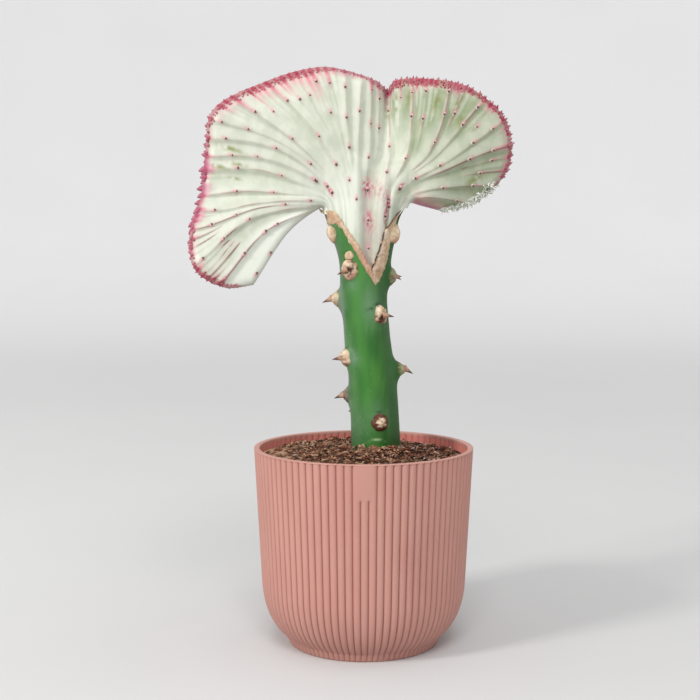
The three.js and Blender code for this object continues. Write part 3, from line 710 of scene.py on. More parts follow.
def make_crest_skin():
    """Cream and grey-green skin: pale ridges, grey-green painted shade in the valleys, under the ridges
    and over the right lobe, thin dark ridge lines that are partly painted shade, white with painted
    light on one panel, pink and crimson towards the margin, olive patches and a few corky marks, all
    from point attributes."""
    material, tree, shader = new_material("crest_skin", Specular_IOR_Level=0.45, Coat_Weight=0.08,
                                          Coat_Roughness=0.3)
    cloud = using(tree, MOTTLE, Size=7.0, Height=1.4, Low=0.35, High=0.65)
    # flesh is the lit colour; shaded and the greener copy are the same skin in painted shade, greener on
    # the right lobe
    flesh = mixed(tree, cloud, tint(199, 204, 186), tint(211, 214, 198))
    shaded = mixed(tree, cloud, tint(168, 179, 156), tint(184, 190, 170))
    greener_shaded = mixed(tree, cloud, tint(146, 160, 126), tint(164, 173, 142))
    shaded = mixed(tree, reading(tree, "right"), shaded, greener_shaded)
    colour = mixed(tree, reading(tree, "valley"), flesh, shaded)
    colour = painted(tree, colour, white=(221, 225, 213), bright=(252, 254, 246),
                     olive=(134, 142, 84), blush=(214, 138, 148), mauve=(184, 104, 134),
                     crimson=(156, 26, 62), line=(122, 94, 84), dark=(86, 40, 40))
    specks = using(tree, SPECKS, Size=2.6, Spot=0.1, Share=0.1)
    specks = mask_math(tree, "MULTIPLY", specks, 0.45)
    colour = mixed(tree, specks, colour, tint(176, 140, 136))
    normal = using(tree, GRAIN, Fine=0.6, Coarse=3.0, Height=0.1, Share=0.5)
    finish_material(tree, shader, colour, 0.45, normal)
    return material


def make_soil_crumbs():
    """Potting mix: each crumb's own brown from near black to tan, with a rough, dull grain."""
    material, tree, shader = new_material("potting_mix", Specular_IOR_Level=0.15)
    cloud = using(tree, MOTTLE, Size=1.6, Height=1.0, Low=0.35, High=0.65)
    dark = mixed(tree, cloud, tint(40, 22, 18), tint(84, 54, 42))
    tan = mixed(tree, cloud, tint(184, 142, 114), tint(214, 176, 142))
    colour = mixed(tree, reading(tree, "tan"), dark, tan)
    colour = painted(tree, colour, rust=(150, 88, 66), pale=(228, 206, 196))
    normal = using(tree, GRAIN, Fine=0.3, Coarse=1.2, Height=0.5, Share=0.7)
    finish_material(tree, shader, colour, 0.9, normal)
    return material


POT_PLASTIC = make_pot_plastic()
STEM_SKIN = make_stem_skin()
CALLUS_CORK = make_callus_cork()
SHIELD_HORN = make_shield_horn()
CREST_SKIN = make_crest_skin()
SOIL = make_soil_crumbs()


# The pot
def pot_profile():
    """The pot's outside as (radius, height) rows: foot, bowl on a quadratic curve, straight taper."""
    t = np.linspace(0, 1, 13)[:-1]
    bowl = np.stack([
        (1 - t) ** 2 * FOOT_TOP_RADIUS + 2 * t * (1 - t) * BOWL_PULL[0] + t * t * SHOULDER_RADIUS,
        (1 - t) ** 2 * FOOT_HEIGHT + 2 * t * (1 - t) * BOWL_PULL[1] + t * t * SHOULDER_HEIGHT,
    ], -1)
    foot = [(FOOT_RADIUS - 0.8, 0), (FOOT_RADIUS - 0.1, 0.35), (FOOT_RADIUS + 0.3, 1.2),
            (FOOT_TOP_RADIUS - 0.3, FOOT_HEIGHT - 0.8)]
    heights = [38, 54, 70, 86, 98, 102.6, 103.2, 103.8, 104.4, 105, 110, 118,
               123.6, 124.4, 124.9, 125.2, 125.45]
    taper = [(SHOULDER_RADIUS + (z - SHOULDER_HEIGHT) / (POT_HEIGHT - SHOULDER_HEIGHT)
              * (RIM_RADIUS - SHOULDER_RADIUS), z) for z in heights]
    return np.array([*foot, *bowl, *taper])


def build_pot():
    """Rings of points: radius less the groove's depth, which is a half ellipse across each flute.

    The two grooves beside the front start below the plain panel, and all of them fade out at the
    lip. The inside is fluted too, more shallowly."""
    steps = np.array([-0.5, -0.475, -0.42, -0.3, -0.12, 0.12, 0.3, 0.42, 0.475])
    phase = (np.arange(FLUTES)[:, None] + steps[None]).ravel()
    across = np.tile(steps, FLUTES)
    angle = FRONT + 2 * math.pi * phase / FLUTES
    groove = 1 - np.sqrt(np.maximum(0, 1 - (2 * np.abs(across)) ** 2))
    turn = (phase + FLUTES / 2) % FLUTES - FLUTES / 2
    beside_front = np.abs(np.abs(turn) - 0.5) < 0.5

    outside = pot_profile()
    radius, height = outside[:, :1], outside[:, 1:]
    depth = np.where(beside_front, smooth(PANEL_FOOT + 1, PANEL_FOOT - 1, height), 1.0)
    depth = depth * smooth(POT_HEIGHT - 0.2, POT_HEIGHT - 1.1, height)
    depth = depth * (0.45 + 0.55 * smooth(2.0, 7.0, height)) * smooth(-0.6, 0.6, height)
    outer = radius - FLUTE_DEPTH * depth * groove
    hollow = depth * groove

    bend = np.linspace(0, math.pi / 2, 5)
    outer_lip = RIM_RADIUS - LIP_ROUND + LIP_ROUND * np.cos(bend)
    inner_lip = RIM_RADIUS - WALL + LIP_ROUND - LIP_ROUND * np.sin(bend)
    lip_radius = np.concatenate([outer_lip, inner_lip])
    lip_height = POT_HEIGHT - LIP_ROUND + LIP_ROUND * np.concatenate([np.sin(bend), np.cos(bend)])

    inner_height = np.array([124.6, 124.0, 123.4, 122.0, 118.0, 104.0, 38.0, 22.0, 10.0, FLOOR])
    inner_radius = np.interp(inner_height, [4, 10, 22, 38, 126], [41, 50.4, 58.8, 61.7, 66.4])
    fluted = smooth(124.8, 123.6, inner_height)[:, None]
    inner = inner_radius[:, None] + INSIDE_FLUTE_DEPTH * fluted * groove

    plain = np.ones((1, len(phase)))
    lip = lip_radius[:, None] * plain
    rows = np.concatenate([height, lip_height[:, None], inner_height[:, None]])
    heights = rows * plain
    radii = np.concatenate([outer, lip, inner * plain])
    # Masks for painted shade in the outside grooves and the shallower inside flutes, and for a painted
    # reflection on the inside wall
    painted_groove_shade = np.concatenate([hollow, 0 * lip, 0.8 * fluted * groove * plain])
    painted_inside_bounce = np.concatenate([0 * outer, 0 * lip, fluted * plain])
    rings = np.stack([radii * np.cos(angle), radii * np.sin(angle), heights], -1)
    put_lofts("pot_body", rings[None], POT_PLASTIC, replaced=("pot",), slot="pot_plastic",
              groove=painted_groove_shade[None] ** 1.5, inside=painted_inside_bounce[None])


# The stem
def stem_at(height):
    """Centre x and y and half axes of the stem at a height."""
    rows = through(STEM_LINE[:, 0], STEM_LINE[:, 1:], height)
    return [rows[..., k] for k in range(4)]


def angle_past(angle, turn):
    """How far an angle lies past `turn` degrees, in radians from -pi to pi."""
    away = angle - math.radians(turn)
    return np.arctan2(np.sin(away), np.cos(away))


def stem_skin(height, angle):
    """Points on the stem: an ellipse with five soft ribs, swollen under each spine shield.

    Angle 0 faces the front and + is right. Each swelling is a bell that fades downwards slowly."""
    x, y, a, b = stem_at(height)
    ribs = 1 + STEM_RIB_RELIEF * np.cos(STEM_RIBS * (angle - STEM_RIB_TURN))
    swell = np.zeros(np.broadcast(height, angle).shape)
    for turn, level, _, _, rise, *_ in SHIELDS:
        across = angle_past(angle, turn) * a / TUBERCLE_WIDTH
        reach = TUBERCLE_RISE * np.where(height < level, 1.15, 0.85)
        along = (height - level) / reach
        swell = swell + rise * np.exp(-3 * (across ** 2 + along ** 2))
    return np.stack([
        x + (a * ribs + swell) * np.sin(angle),
        y - (b * ribs + swell) * np.cos(angle),
        height + 0 * angle,
    ], -1)


def callus_line(line, x):
    """Height of the callus's edge at x, seen from the front."""
    return np.interp(x, line[:, 0], line[:, 1])


def stem_masks(points, height, angle):
    """Mauve and grey bloom on the left side and round the shields, painted shade in deep green on the
    right side and darker green towards the foot, a painted highlight in a stripe down the front, and the
    marks of the table as fading ovals."""
    right = np.sin(angle) + 0 * height
    front = np.cos(angle) + 0 * height
    mauve = smooth(0.8, 1.0, -right) * smooth(150, 205, height) * (0.2 + 0.5 * drift(points, 6, 5))
    apex = bell((points[..., 0] - 4) / 6, (height - 218) / 13)
    apex = apex * smooth(0, 0.6, front)
    edge = smooth(0.7, 0.98, -right) * smooth(240, 228, height) * smooth(196, 208, height)
    bloom = 0.7 * apex + 0.6 * edge + 0.45 * smooth(0.35, 0.9, -right) * drift(points, 7, 6)
    # Painted shade: deeper green on the right side, away from the light; also darker towards the foot
    deep = 0.6 * smooth(0.45, 0.8, right) + 0.35 * smooth(150, 126, height)
    # Painted highlight: a bright stripe down the front, left of the middle, where the light falls
    bright = bell((right + 0.25) / 0.3) * smooth(-0.2, 0.5, front)
    bright = bright * (0.3 + 0.6 * drift(points, 14, 8))
    cloud = drift(points, 3, 9)
    for turn, level, *_ in SHIELDS:
        across = angle_past(angle, turn) * STEM_RADIUS
        bloom = bloom + 0.4 * bell(across / 8, (height - level) / 10) * cloud
    masks = dict(dark=0 * right, scratch=0 * right, bloom=bloom, mauve=mauve, deep=deep, bright=bright)
    cloud = drift(points, 1.2, 10)
    for mask, turn, level, wide, tall, force in STEM_MARKS:
        across = angle_past(angle, turn) * STEM_RADIUS
        spread = bell(across / wide, (height - level + 0.05 * across ** 2) / tall)
        masks[mask] = masks[mask] + force * spread * (0.5 + 0.8 * cloud)
    return {mask: np.clip(value, 0, 1) for mask, value in masks.items()}


def build_stem():
    """Rings up the stem, level up to its straight part's top and then drawn up to the V cut.

    Each ring runs from the left side over the front, so opposite points face each other in depth."""
    sides = 132
    straight = 120
    drawn = 36
    angle = full_turn(sides) - math.pi / 2
    trial = np.linspace(222, 284, 500)[:, None]
    above = stem_skin(trial, angle[None])[..., 0]
    crossed = trial > callus_line(CALLUS_LOWER, above) + 0.6
    top = np.where(crossed.any(axis=0), trial[np.argmax(crossed, axis=0), 0], 276.0)
    low = np.linspace(STEM_FOOT, STEM_STRAIGHT_TOP, straight)[:, None] + 0 * angle
    share = np.linspace(0, 1, drawn + 1)[1:, None]
    height = np.concatenate([low, STEM_STRAIGHT_TOP + (top - STEM_STRAIGHT_TOP) * share])
    angle = angle[None] + 0 * height
    points = stem_skin(height, angle)
    outward = np.stack([np.sin(angle), -np.cos(angle), 0 * angle], -1)
    points = points + 0.5 * (drift(points, 11.0, 3) - 0.5)[..., None] * outward
    put("stem", points, loft_faces(1, len(points), sides, strip=True), STEM_SKIN,
        replaced=("rootstock_stem",), slot="stem_skin", **stem_masks(points, height, angle))


def build_callus():
    """A corky band along the V: each cross-section goes up the front lip and down the back one.

    Its depth is that of the stem at that place, its lips bulge, its edges and its skin wander, and
    at both ends it is drawn in to a rounded tip."""
    steps = 260
    lip = 13
    share = np.linspace(0, 1, steps)
    knots = np.linspace(0, 1, len(CALLUS_LOWER))
    lower = np.stack([np.interp(share, knots, CALLUS_LOWER[:, k]) for k in range(2)], -1)
    upper = np.stack([np.interp(share, knots, CALLUS_UPPER[:, k]) for k in range(2)], -1)
    t = np.linspace(-0.06, 1.06, lip)[None]
    flat = lower[:, None] * (1 - t[..., None]) + upper[:, None] * t[..., None]
    x, z = flat[..., 0], flat[..., 1]
    centre, middle, a, b = stem_at(z)
    ends = np.sqrt(np.minimum(1, np.minimum(share, 1 - share) / 0.035))[:, None]
    depth = b * np.sqrt(np.maximum(0.01, 1 - np.clip((x - centre) / a, -1, 1) ** 2)) * (0.2 + 0.8 * ends)
    bulge = CALLUS_PROUD * (1 - np.abs(2 * t - 1) ** 3)
    halves = []
    for sign, seed in ((-1, 11), (1, 12)):
        spot = np.stack([x, 30.0 * sign + 0 * x, z], -1)
        rough = 0.55 * drift(spot, 1.1, seed) + 0.7 * drift(spot, 2.6, seed + 1)
        pits = smooth(0.72, 0.9, drift(spot, 1.4, seed + 2))
        y = middle + sign * (depth + bulge * ends + 0.9 * (rough - 0.6) - 0.6 * pits)
        wander = 0.9 * (drift(spot, 1.9, seed + 4) - 0.5) * np.abs(2 * t - 1)
        halves.append(np.stack([x + wander, y, z + 0.7 * wander], -1))
    rings = np.concatenate([halves[0], halves[1][:, ::-1]], axis=1)
    across = np.concatenate([t + 0 * z, (t + 0 * z)[:, ::-1]], axis=1)
    along = share[:, None] + 0 * across
    cloud = drift(rings, 2.0, 21)
    right_edge = smooth(0.52, 0.57, along) * smooth(0.78, 0.98, across) * smooth(0.98, 0.9, along)
    left_top = 0.8 * smooth(0.12, 0.02, along) * smooth(0.3, 0.8, cloud)
    left_cracks = smooth(0.2, 0.05, along) * smooth(0.62, 0.75, cloud)
    right_end = smooth(0.86, 0.97, along) * smooth(0.4, 0.8, across)
    dark = 1.1 * right_edge * smooth(0.2, 0.5, cloud) + left_top + left_cracks + 0.8 * right_end
    apex = bell((along - 0.5) / 0.06)
    rosy = 0.45 * apex + 0.25 * smooth(0.5, 0.8, drift(rings, 4, 23))
    leafy = 0.7 * smooth(0.22, 0.06, along) * smooth(0.4, 0.1, across)
    dry = smooth(0.55, 0.62, along) * smooth(0.9, 0.84, along) * smooth(0.5, 0.72, across)
    dry = 0.85 * dry * (1 - right_edge) * smooth(0.3, 0.6, drift(rings, 1.3, 25))
    masks = dict(dark=dark, rosy=rosy, leafy=leafy, dry=dry)
    put("graft_scar", rings, loft_faces(1, steps, 2 * lip, strip=True), CALLUS_CORK,
        replaced=("graft_callus",), slot="callus_cork",
        **{key: np.clip(value, 0, 1) for key, value in masks.items()})


# The crest
GUIDES = np.array([
    [(base[0], 0, base[1]), (neck[0], 0, neck[1]), middle, edge]
    for base, neck, middle, edge in CREST_GUIDES
], float)
EDGE_STEPS = np.linalg.norm(np.diff(GUIDES[:, 3], axis=0), axis=1)
CREST_KNOTS = np.concatenate([[0], np.cumsum(EDGE_STEPS)]) / EDGE_STEPS.sum()
MARGIN_LENGTH = EDGE_STEPS.sum()


def crest_at(u, v):
    """The crest's middle surface: guides joined smoothly along u, then their four points along v."""
    u, v = np.broadcast_arrays(np.asarray(u, float), np.asarray(v, float))
    points = through(CREST_KNOTS, GUIDES, u)
    stages = np.array(CREST_STAGES)
    low = np.maximum(np.arange(4) - 1, 0)
    high = np.minimum(np.arange(4) + 1, 3)
    slopes = (points[..., high, :] - points[..., low, :]) / (stages[high] - stages[low])[:, None]
    result = 0.0
    for k in range(3):
        inside = (v > stages[k]) if k else (v <= stages[1])
        if k < 2:
            inside = inside & (v <= stages[k + 1])
        span = stages[k + 1] - stages[k]
        t = ((v - stages[k]) / span)[..., None]
        rise = points[..., k + 1, :] - points[..., k, :]
        bend = slopes[..., k, :] * (1 - t) - slopes[..., k + 1, :] * t
        piece = points[..., k, :] + rise * t * t * (3 - 2 * t) + span * t * (1 - t) * bend
        result = result + np.where(inside[..., None], piece, 0)
    return result


def margin_at(u, *columns):
    """The margin table's columns at u, by name."""
    table = dict(zip(MARGIN_COLUMNS, MARGIN.T))
    return [np.interp(u, table["u"], table[name]) for name in columns]


def all_ridges():
    """Rows of (onset, u near the neck, halfway, near the margin, height): the table's ridges, and
    finer ones spread evenly between them where the margin asks for them."""
    table = np.array([row[:4] for row in RIDGES])
    tall = 2.1 + 0.8 * chance(np.arange(len(table)), 5)
    tall = np.where(table[:, 0] > 0.45, 1.5, tall)
    rows = [np.column_stack([table, tall])]
    for left, right in zip(table[:-1], table[1:]):
        gap = (right[3] - left[3]) * MARGIN_LENGTH
        spacing, band = margin_at(left[3], "spacing", "band")
        extra = int(round(gap / spacing)) - 1
        if extra < 1:
            continue
        share = (np.arange(extra) + 1) / (extra + 1)
        key = 1000 * left[3] + np.arange(extra)
        share = share + 0.35 * (chance(key, 6) - 0.5) / (extra + 1)
        places = left[None, 1:4] * (1 - share[:, None]) + right[None, 1:4] * share[:, None]
        onset = 0.78 + 0.12 * chance(key, 7)
        ribbed = smooth(2.8, 4.6, band)
        onset = onset - 0.14 * ribbed
        rows.append(np.column_stack([onset, places, 0.8 + 0.7 * ribbed + 0.5 * chance(key, 8)]))
    rows = np.concatenate(rows)
    return rows[np.argsort(rows[:, 3])]


ALL_RIDGES = all_ridges()
MAIN_RIDGES = np.flatnonzero(np.isin(ALL_RIDGES[:, 3], [row[3] for row in RIDGES]))


def ridge_fields(u, v):
    """(height, gap, nearest): every ridge is a tent over its own line, steeper on its lower side
    and as high as it has risen at that v, and the skin follows the highest tent. Nearest is the
    number of the ridge on top, and gap the distance to its line in mm, with its sign."""
    step = 0.004
    stretch = np.linalg.norm(crest_at(np.minimum(u + step, 1), v) - crest_at(u - step, v), axis=-1)
    stretch = stretch / (np.minimum(u + step, 1) - u + step)
    best = np.full(np.shape(u), -9.0)
    gap = np.full(np.shape(u), 9.0)
    nearest = np.zeros(np.shape(u), int)
    total = np.ones(np.shape(u))
    for number, (onset, *places, tall) in enumerate(ALL_RIDGES):
        line = through(RIDGE_STAGES, places, np.clip(v, 0.05, 1))
        away = (u - line) * stretch
        risen = tall * smooth(onset - 0.12, onset + 0.2, v)
        tilt = FLANK_TILT * np.clip((places[1] - 0.52) / 0.12, -1, 1)
        slope = FLANK_SLOPE * (1 + tilt * np.tanh(away / 0.8))
        tent = risen - slope * (np.sqrt(away ** 2 + 0.35) - 0.59)
        tent = np.where(risen > 0.02, tent, -9.0)
        total = total + np.exp(3.0 * np.minimum(tent, 6))
        on_top = tent > best
        best = np.where(on_top, tent, best)
        gap = np.where(on_top, away, gap)
        nearest = np.where(on_top, number, nearest)
    return np.log(total) / 3.0, gap, nearest


def crease_at(u):
    """1 in the crease between the lobes, falling off sharply to both sides."""
    return np.exp(-np.abs(u - CREST_SPLIT) / 0.004)


def crest_relief(u, v, fields=None):
    """How far the skin stands out of the smooth fan: the ridges' tents, lower in the neck, less
    two grooves down the neck and the crease under the notch, and slow swells."""
    height, _, _ = fields or ridge_fields(u, v)
    relief = height * (0.2 + 0.8 * smooth(0.15, 0.5, v)) * smooth(1.04, 0.94, v)
    for place, depth, width, reach, _ in NECK_GROOVES:
        relief = relief - depth * bell((u - place) / width) * smooth(reach, reach - 0.25, v)
    relief = relief - (0.6 + 2.6 * smooth(0.8, 1.0, v)) * crease_at(u)
    swell = np.sin(9.0 * u + 1.0) * np.sin(5.0 * v) + 0.6 * np.sin(23.0 * u - 3.0 * v)
    return relief + 0.7 * swell * smooth(0.25, 0.6, v) * smooth(1.0, 0.8, v) - 0.8


def crest_half(v, point):
    """Half the fan's thickness: the stem's depth at the graft, thinner towards the margin."""
    centre, _, a, b = stem_at(np.minimum(point[..., 2], 284))
    across = np.clip(np.abs(point[..., 0] - centre) / a, 0, 1)
    neck = b * np.sqrt(1 - across ** 2)
    fan = (CREST_THICKNESS + (CREST_MARGIN_THICKNESS - CREST_THICKNESS) * v) / 2
    blend = smooth(0.15, 0.6, v)
    return np.maximum(fan, neck * (1 - blend) + fan * blend)


def crest_rounding(u, v, middle):
    """1 in the fan, falling on a quarter circle to a thin rim at the margin and at both sides:
    at the sides by the straight distance to the edge at the same v."""
    inset = np.clip((v - RIM_START) / (1 - RIM_START), 0, 1)
    result = np.sqrt(np.maximum(0, 1 - inset ** 2))
    for edge in (0.0, 1.0):
        away = np.linalg.norm(middle - crest_at(edge + 0 * u, v), axis=-1)
        inset = 1 - np.clip(away / CREST_EDGE_ROUND, 0, 1)
        result = np.minimum(result, np.sqrt(np.maximum(0, 1 - inset ** 2)))
    return result


def crest_face(u, v, side, fields=None):
    """Points on the crest's skin: side -1 is the front and 1 the back."""
    u, v = np.broadcast_arrays(np.asarray(u, float), np.asarray(v, float))
    middle = crest_at(u, v)
    half = crest_half(v, middle) + crest_relief(u, v, fields)
    shift = np.zeros_like(middle)
    shift[..., 1] = side * np.maximum(0.35, half * crest_rounding(u, v, middle))
    return middle + shift


def margin_distance(u, v):
    """Distance in mm along the skin from the margin, with v on the first axis."""
    points = crest_at(u, v)
    steps = np.linalg.norm(np.diff(points, axis=0), axis=-1)
    from_margin = np.cumsum(steps[::-1], axis=0)[::-1]
    return np.concatenate([from_margin, np.zeros_like(from_margin[:1])])


def main_ridge(u, nearest):
    """True where the ridge on top is one of the table's, and everywhere in the lowest corner."""
    return np.isin(nearest, MAIN_RIDGES) | (u < 0.14)


def ridge_masks(u, v, fields, cloud, stretch):
    """Painted shade, greyer, between the ridges, under each one's lower flank and over the right lobe,
    with grey-green patches in the neck; white in the neck, less on the right lobe, and painted light on
    the left lobe's last panel; and a thin broken line along the lower side of each main ridge, partly a
    dark line of its own and partly painted shade."""
    height, gap, nearest = fields
    off = np.abs(gap)
    below = gap * np.where(u < 0.5, -1.0, 1.0)
    right = smooth(0.58, 0.68, u)
    main = main_ridge(u, nearest)
    # Painted light: the left lobe's last panel is whitened and its shade taken out
    painted_light_panel = smooth(0.058, 0.03, u) * smooth(0.3, 0.5, v)
    # Painted shade under each main ridge's lower flank
    lower_flank_shade = smooth(0.3, -1.2, -below) * smooth(5.0, 1.5, off) * (1 - painted_light_panel)
    # Painted shade between the ridges, where they are low, and over the right lobe
    valley = smooth(2.3, 0.6, height) * smooth(0.2, 0.5, v) * (0.25 + 0.35 * right + 0.3 * cloud)
    valley = valley + 0.4 * lower_flank_shade * main * smooth(0.25, 0.5, v) + 0.4 * right * smooth(0.3, 0.7, v)
    grain = drift_at(38 * u, 2.2 * v, 0, 1.0, 35)
    valley = valley + 0.5 * smooth(0.5, 0.2, v) * smooth(0.65, 0.3, grain)
    valley = valley * (1 - 0.8 * painted_light_panel)
    furrows = smooth(0.8, 2.0, off) * smooth(0.68, 0.86, v)
    valley = valley + 0.7 * furrows * smooth(0.585, 0.60, u) * smooth(0.79, 0.76, u)
    white = smooth(0.6, 0.2, v) * (0.25 + 0.45 * smooth(0.3, 0.7, grain)) * (1 - 0.5 * right)
    white = white * (1 - 0.4 * neck_middle(u, v)) * smooth(0.02, 0.2, v + 0.1 * grain)
    white = np.maximum(white, painted_light_panel)
    # The line is partly the ridge's own dark line, partly painted shade on its lower side
    line = bell((below - 0.4) / 0.55) * main * margin_at(u, "lines")[0]
    line = line * smooth(0.35, 0.6, v) * smooth(0.25, 0.65, stretch)
    return dict(valley=valley, white=white, line=line, right=right)


def neck_middle(u, v):
    """1 in the middle of the neck, fading to its sides and up the fan."""
    return bell((u - 0.64) / 0.05) * smooth(0.5, 0.3, v)


def margin_masks(u, v, distance, side, fields, cloud, fine_cloud, stretch):
    """Crimson and mauve in a ragged band along the margin, pink below it, pink streaks down the
    ridges and a faint pink trail along the main ones, and olive where the colour leans to green."""
    _, gap, nearest = fields
    off = np.abs(gap)
    depth, reach, lean, inked = margin_at(u, "band", "streaks", "lean", "lines")
    violet = np.clip(lean, 0, 1)
    pale = np.clip(-lean, 0, 1)
    luck = chance(nearest, 7 + side)
    knot = bell(off / 1.5)
    patchy = smooth(0.25, 0.6, drift_at(70 * u, 6 * v, 0, 1.0, 37))
    band = depth * (0.55 + 0.6 * knot * (0.3 + 0.7 * luck) + 0.3 * fine_cloud)
    crimson = smooth(band, 0.45 * band, distance) * (0.62 + 0.38 * knot) * (0.75 + 0.25 * patchy)
    crimson = crimson * (1 - 0.85 * pale) * (1 - 0.4 * violet)
    mauve = violet * smooth(2.6 * depth * (0.35 + 0.65 * patchy), 0.3 * depth, distance)
    mauve = mauve * (0.35 + 0.65 * patchy)
    run = reach * (0.35 + 0.9 * luck)
    streak = bell((off - 0.4) / 1.25) * smooth(run, 0.1 * run, distance)
    wash = smooth(reach * 0.7, 0, distance) * (0.3 + 0.7 * cloud)
    trail = bell(off / 1.1) * main_ridge(u, nearest) * inked * smooth(0.3, 0.6, v) * stretch
    blush = (0.95 * streak + 0.45 * wash + 0.4 * trail) * (1 - 0.6 * pale)
    return dict(crimson=crimson, mauve=mauve, blush=blush, olive=0.3 * pale * smooth(7, 1, distance))


def edge_masks(u, v, points):
    """Mauve and pink along the right lobe's lower edge, and pink and dark down the crease."""
    edge = np.linalg.norm(points[..., ::2] - crest_at(1 + 0 * u, v)[..., ::2], axis=-1)
    start = smooth(0.3, 0.42, v)
    mauve = 0.8 * smooth(4.5, 0.5, edge) * start * smooth(0.97, 0.85, v)
    crease = crease_at(u) * smooth(0.84, 0.97, v)
    blush = 0.5 * smooth(12, 2, edge) * start * smooth(1.0, 0.85, v) + 0.8 * crease
    return dict(mauve=mauve, blush=blush, dark=0.55 * crease)


def patch_masks(u, v, points, side, cloud, fine_cloud):
    """Olive patches on the fan, painted shade and mauve in the neck's grooves, and pink and crimson
    stains in front on the neck: each a bell in u and v, broken up by noise."""
    olive = 0.0
    for at_u, at_v, wide, tall in OLIVE_PATCHES:
        olive = olive + bell((u - at_u) / wide, (v - at_v) / tall) * smooth(0.2, 0.6, fine_cloud)
    valley = 0.0
    mauve = 0.0
    for place, _, _, _, top in NECK_GROOVES:
        hollow = bell((u - place) / 0.014) * smooth(top, top - 0.2, v)
        # Painted shade in the groove's hollow
        valley = valley + 1.2 * hollow
        mauve = mauve + 0.3 * hollow * smooth(0.3, 0.6, cloud)
    stain = 0.0 * u
    if side < 0:
        broken = smooth(0.42, 0.6, drift(points, 1.1, 61))
        for at_u, at_v, force in NECK_STAINS:
            spread = bell((u - at_u) / 0.013, (v - at_v) / 0.032)
            stain = stain + 1.3 * force * spread * broken
    blush = stain + 0.22 * neck_middle(u, v) * cloud
    return dict(olive=olive, valley=valley, mauve=mauve, blush=blush, crimson=0.6 * stain)


def wart_masks(points, side):
    """Pink on each wart's side towards the margin and painted shade on the other, as bells along the
    skin.
    """
    spots = tubercle_sites(side)
    place, _, along, _ = skin_frame(spots[:, 0], spots[:, 1], side)
    blush = 0.0
    valley = 0.0
    for at, way, size in zip(place, along, spots[:, 2]):
        away = points - at
        far = away @ way
        wide = np.maximum(np.linalg.norm(away, axis=-1) ** 2 - far ** 2, 0)
        blush = blush + 0.75 * np.exp(-((far - 1.3 * size) / 2.0) ** 2 - wide / 1.3)
        # Painted shade on the wart's inner side
        valley = valley + 0.5 * np.exp(-((far + 2.0) / 2.0) ** 2 - wide / 1.6)
    return dict(blush=blush, valley=valley)


def crest_masks(u, v, distance, points, side, fields):
    """The sum of all the masks that the skin's material reads."""
    cloud = drift(points, 9.0, 31)
    fine_cloud = drift(points, 2.2, 33)
    stretch = drift_at(3.7 * fields[2], 9 * v, 0, 1.0, 41)
    layers = (
        ridge_masks(u, v, fields, cloud, stretch),
        margin_masks(u, v, distance, side, fields, cloud, fine_cloud, stretch),
        edge_masks(u, v, points),
        patch_masks(u, v, points, side, cloud, fine_cloud),
        wart_masks(points, side),
    )
    total = {}
    for layer in layers:
        for key, value in layer.items():
            total[key] = total.get(key, 0.0) + value
    return {key: np.clip(value, 0, 1) for key, value in total.items()}


def crest_start(u):
    """The v at which each column's guide comes out of the V cut, inside the scar."""
    trial = np.linspace(0, 0.5, 500)[:, None]
    path = crest_at(u[None] + 0 * trial, trial + 0 * u[None])
    cut = np.interp(path[..., 0], CALLUS_UPPER[:, 0], CALLUS_UPPER[:, 1] - 2.0)
    inside = (path[..., 0] > CALLUS_UPPER[0, 0] - 1) & (path[..., 0] < CALLUS_UPPER[-1, 0] + 1)
    below = (path[..., 2] < cut) & inside
    last = trial[len(trial) - 1 - np.argmax(below[::-1], axis=0), 0]
    return np.where(below.any(axis=0), last, 0)


def build_crest_part(name, start, end, columns, rows):
    """One lobe of the fan: front skin and back skin on one loop per row of v, closed at both
    sides. Rows are closest together at the margin, where the skin turns over."""
    u = np.linspace(start, end, columns + 1)
    first = crest_start(u)
    inner = RIM_START * np.linspace(0, 1, rows + 2 - RIM_ROWS) ** 0.9
    rim = RIM_START + (1 - RIM_START) * np.sin(np.linspace(0, math.pi / 2, RIM_ROWS))[1:]
    share = np.concatenate([inner, rim])[:, None]
    v = first[None] + (1 - first[None]) * share
    across = u[None] + 0 * v
    distance = margin_distance(across, v)
    fields = ridge_fields(across, v)
    front, back = [crest_face(across, v, side, fields) for side in (-1, 1)]
    rings = np.concatenate([front, back[:, ::-1]], axis=1)
    front = crest_masks(across, v, distance, front, -1, fields)
    back = crest_masks(across, v, distance, back, 1, fields)
    values = {key: np.concatenate([front[key], back[key][:, ::-1]], axis=1) for key in front}
    put(name, rings, loft_faces(1, len(rings), rings.shape[1], strip=True), CREST_SKIN,
        replaced=("crest",), slot="crest_skin", **values)


def build_crest():
    """The grown fan with its neck, in two lobes that meet in the crease under the notch."""
    build_crest_part("crest_left_lobe", 0.0, CREST_SPLIT + 0.002, 470, 104)
    build_crest_part("crest_right_lobe", CREST_SPLIT - 0.002, 1.0, 340, 140)


def skin_frame(u, v, side):
    """(place, outward, along, across) on the crest's skin, from small steps in u and v."""
    du = 0.002
    dv = 0.01
    place = crest_face(u, v, side)
    along = unit(crest_at(u, np.minimum(v + dv, 1)) - crest_at(u, v - dv))
    across = unit(crest_at(np.minimum(u + du, 1), v) - crest_at(u - du, v))
    outward = unit(np.cross(across, along))
    outward = outward * np.sign(outward[..., 1:2] * side)
    return place, outward, along, unit(np.cross(along, outward))


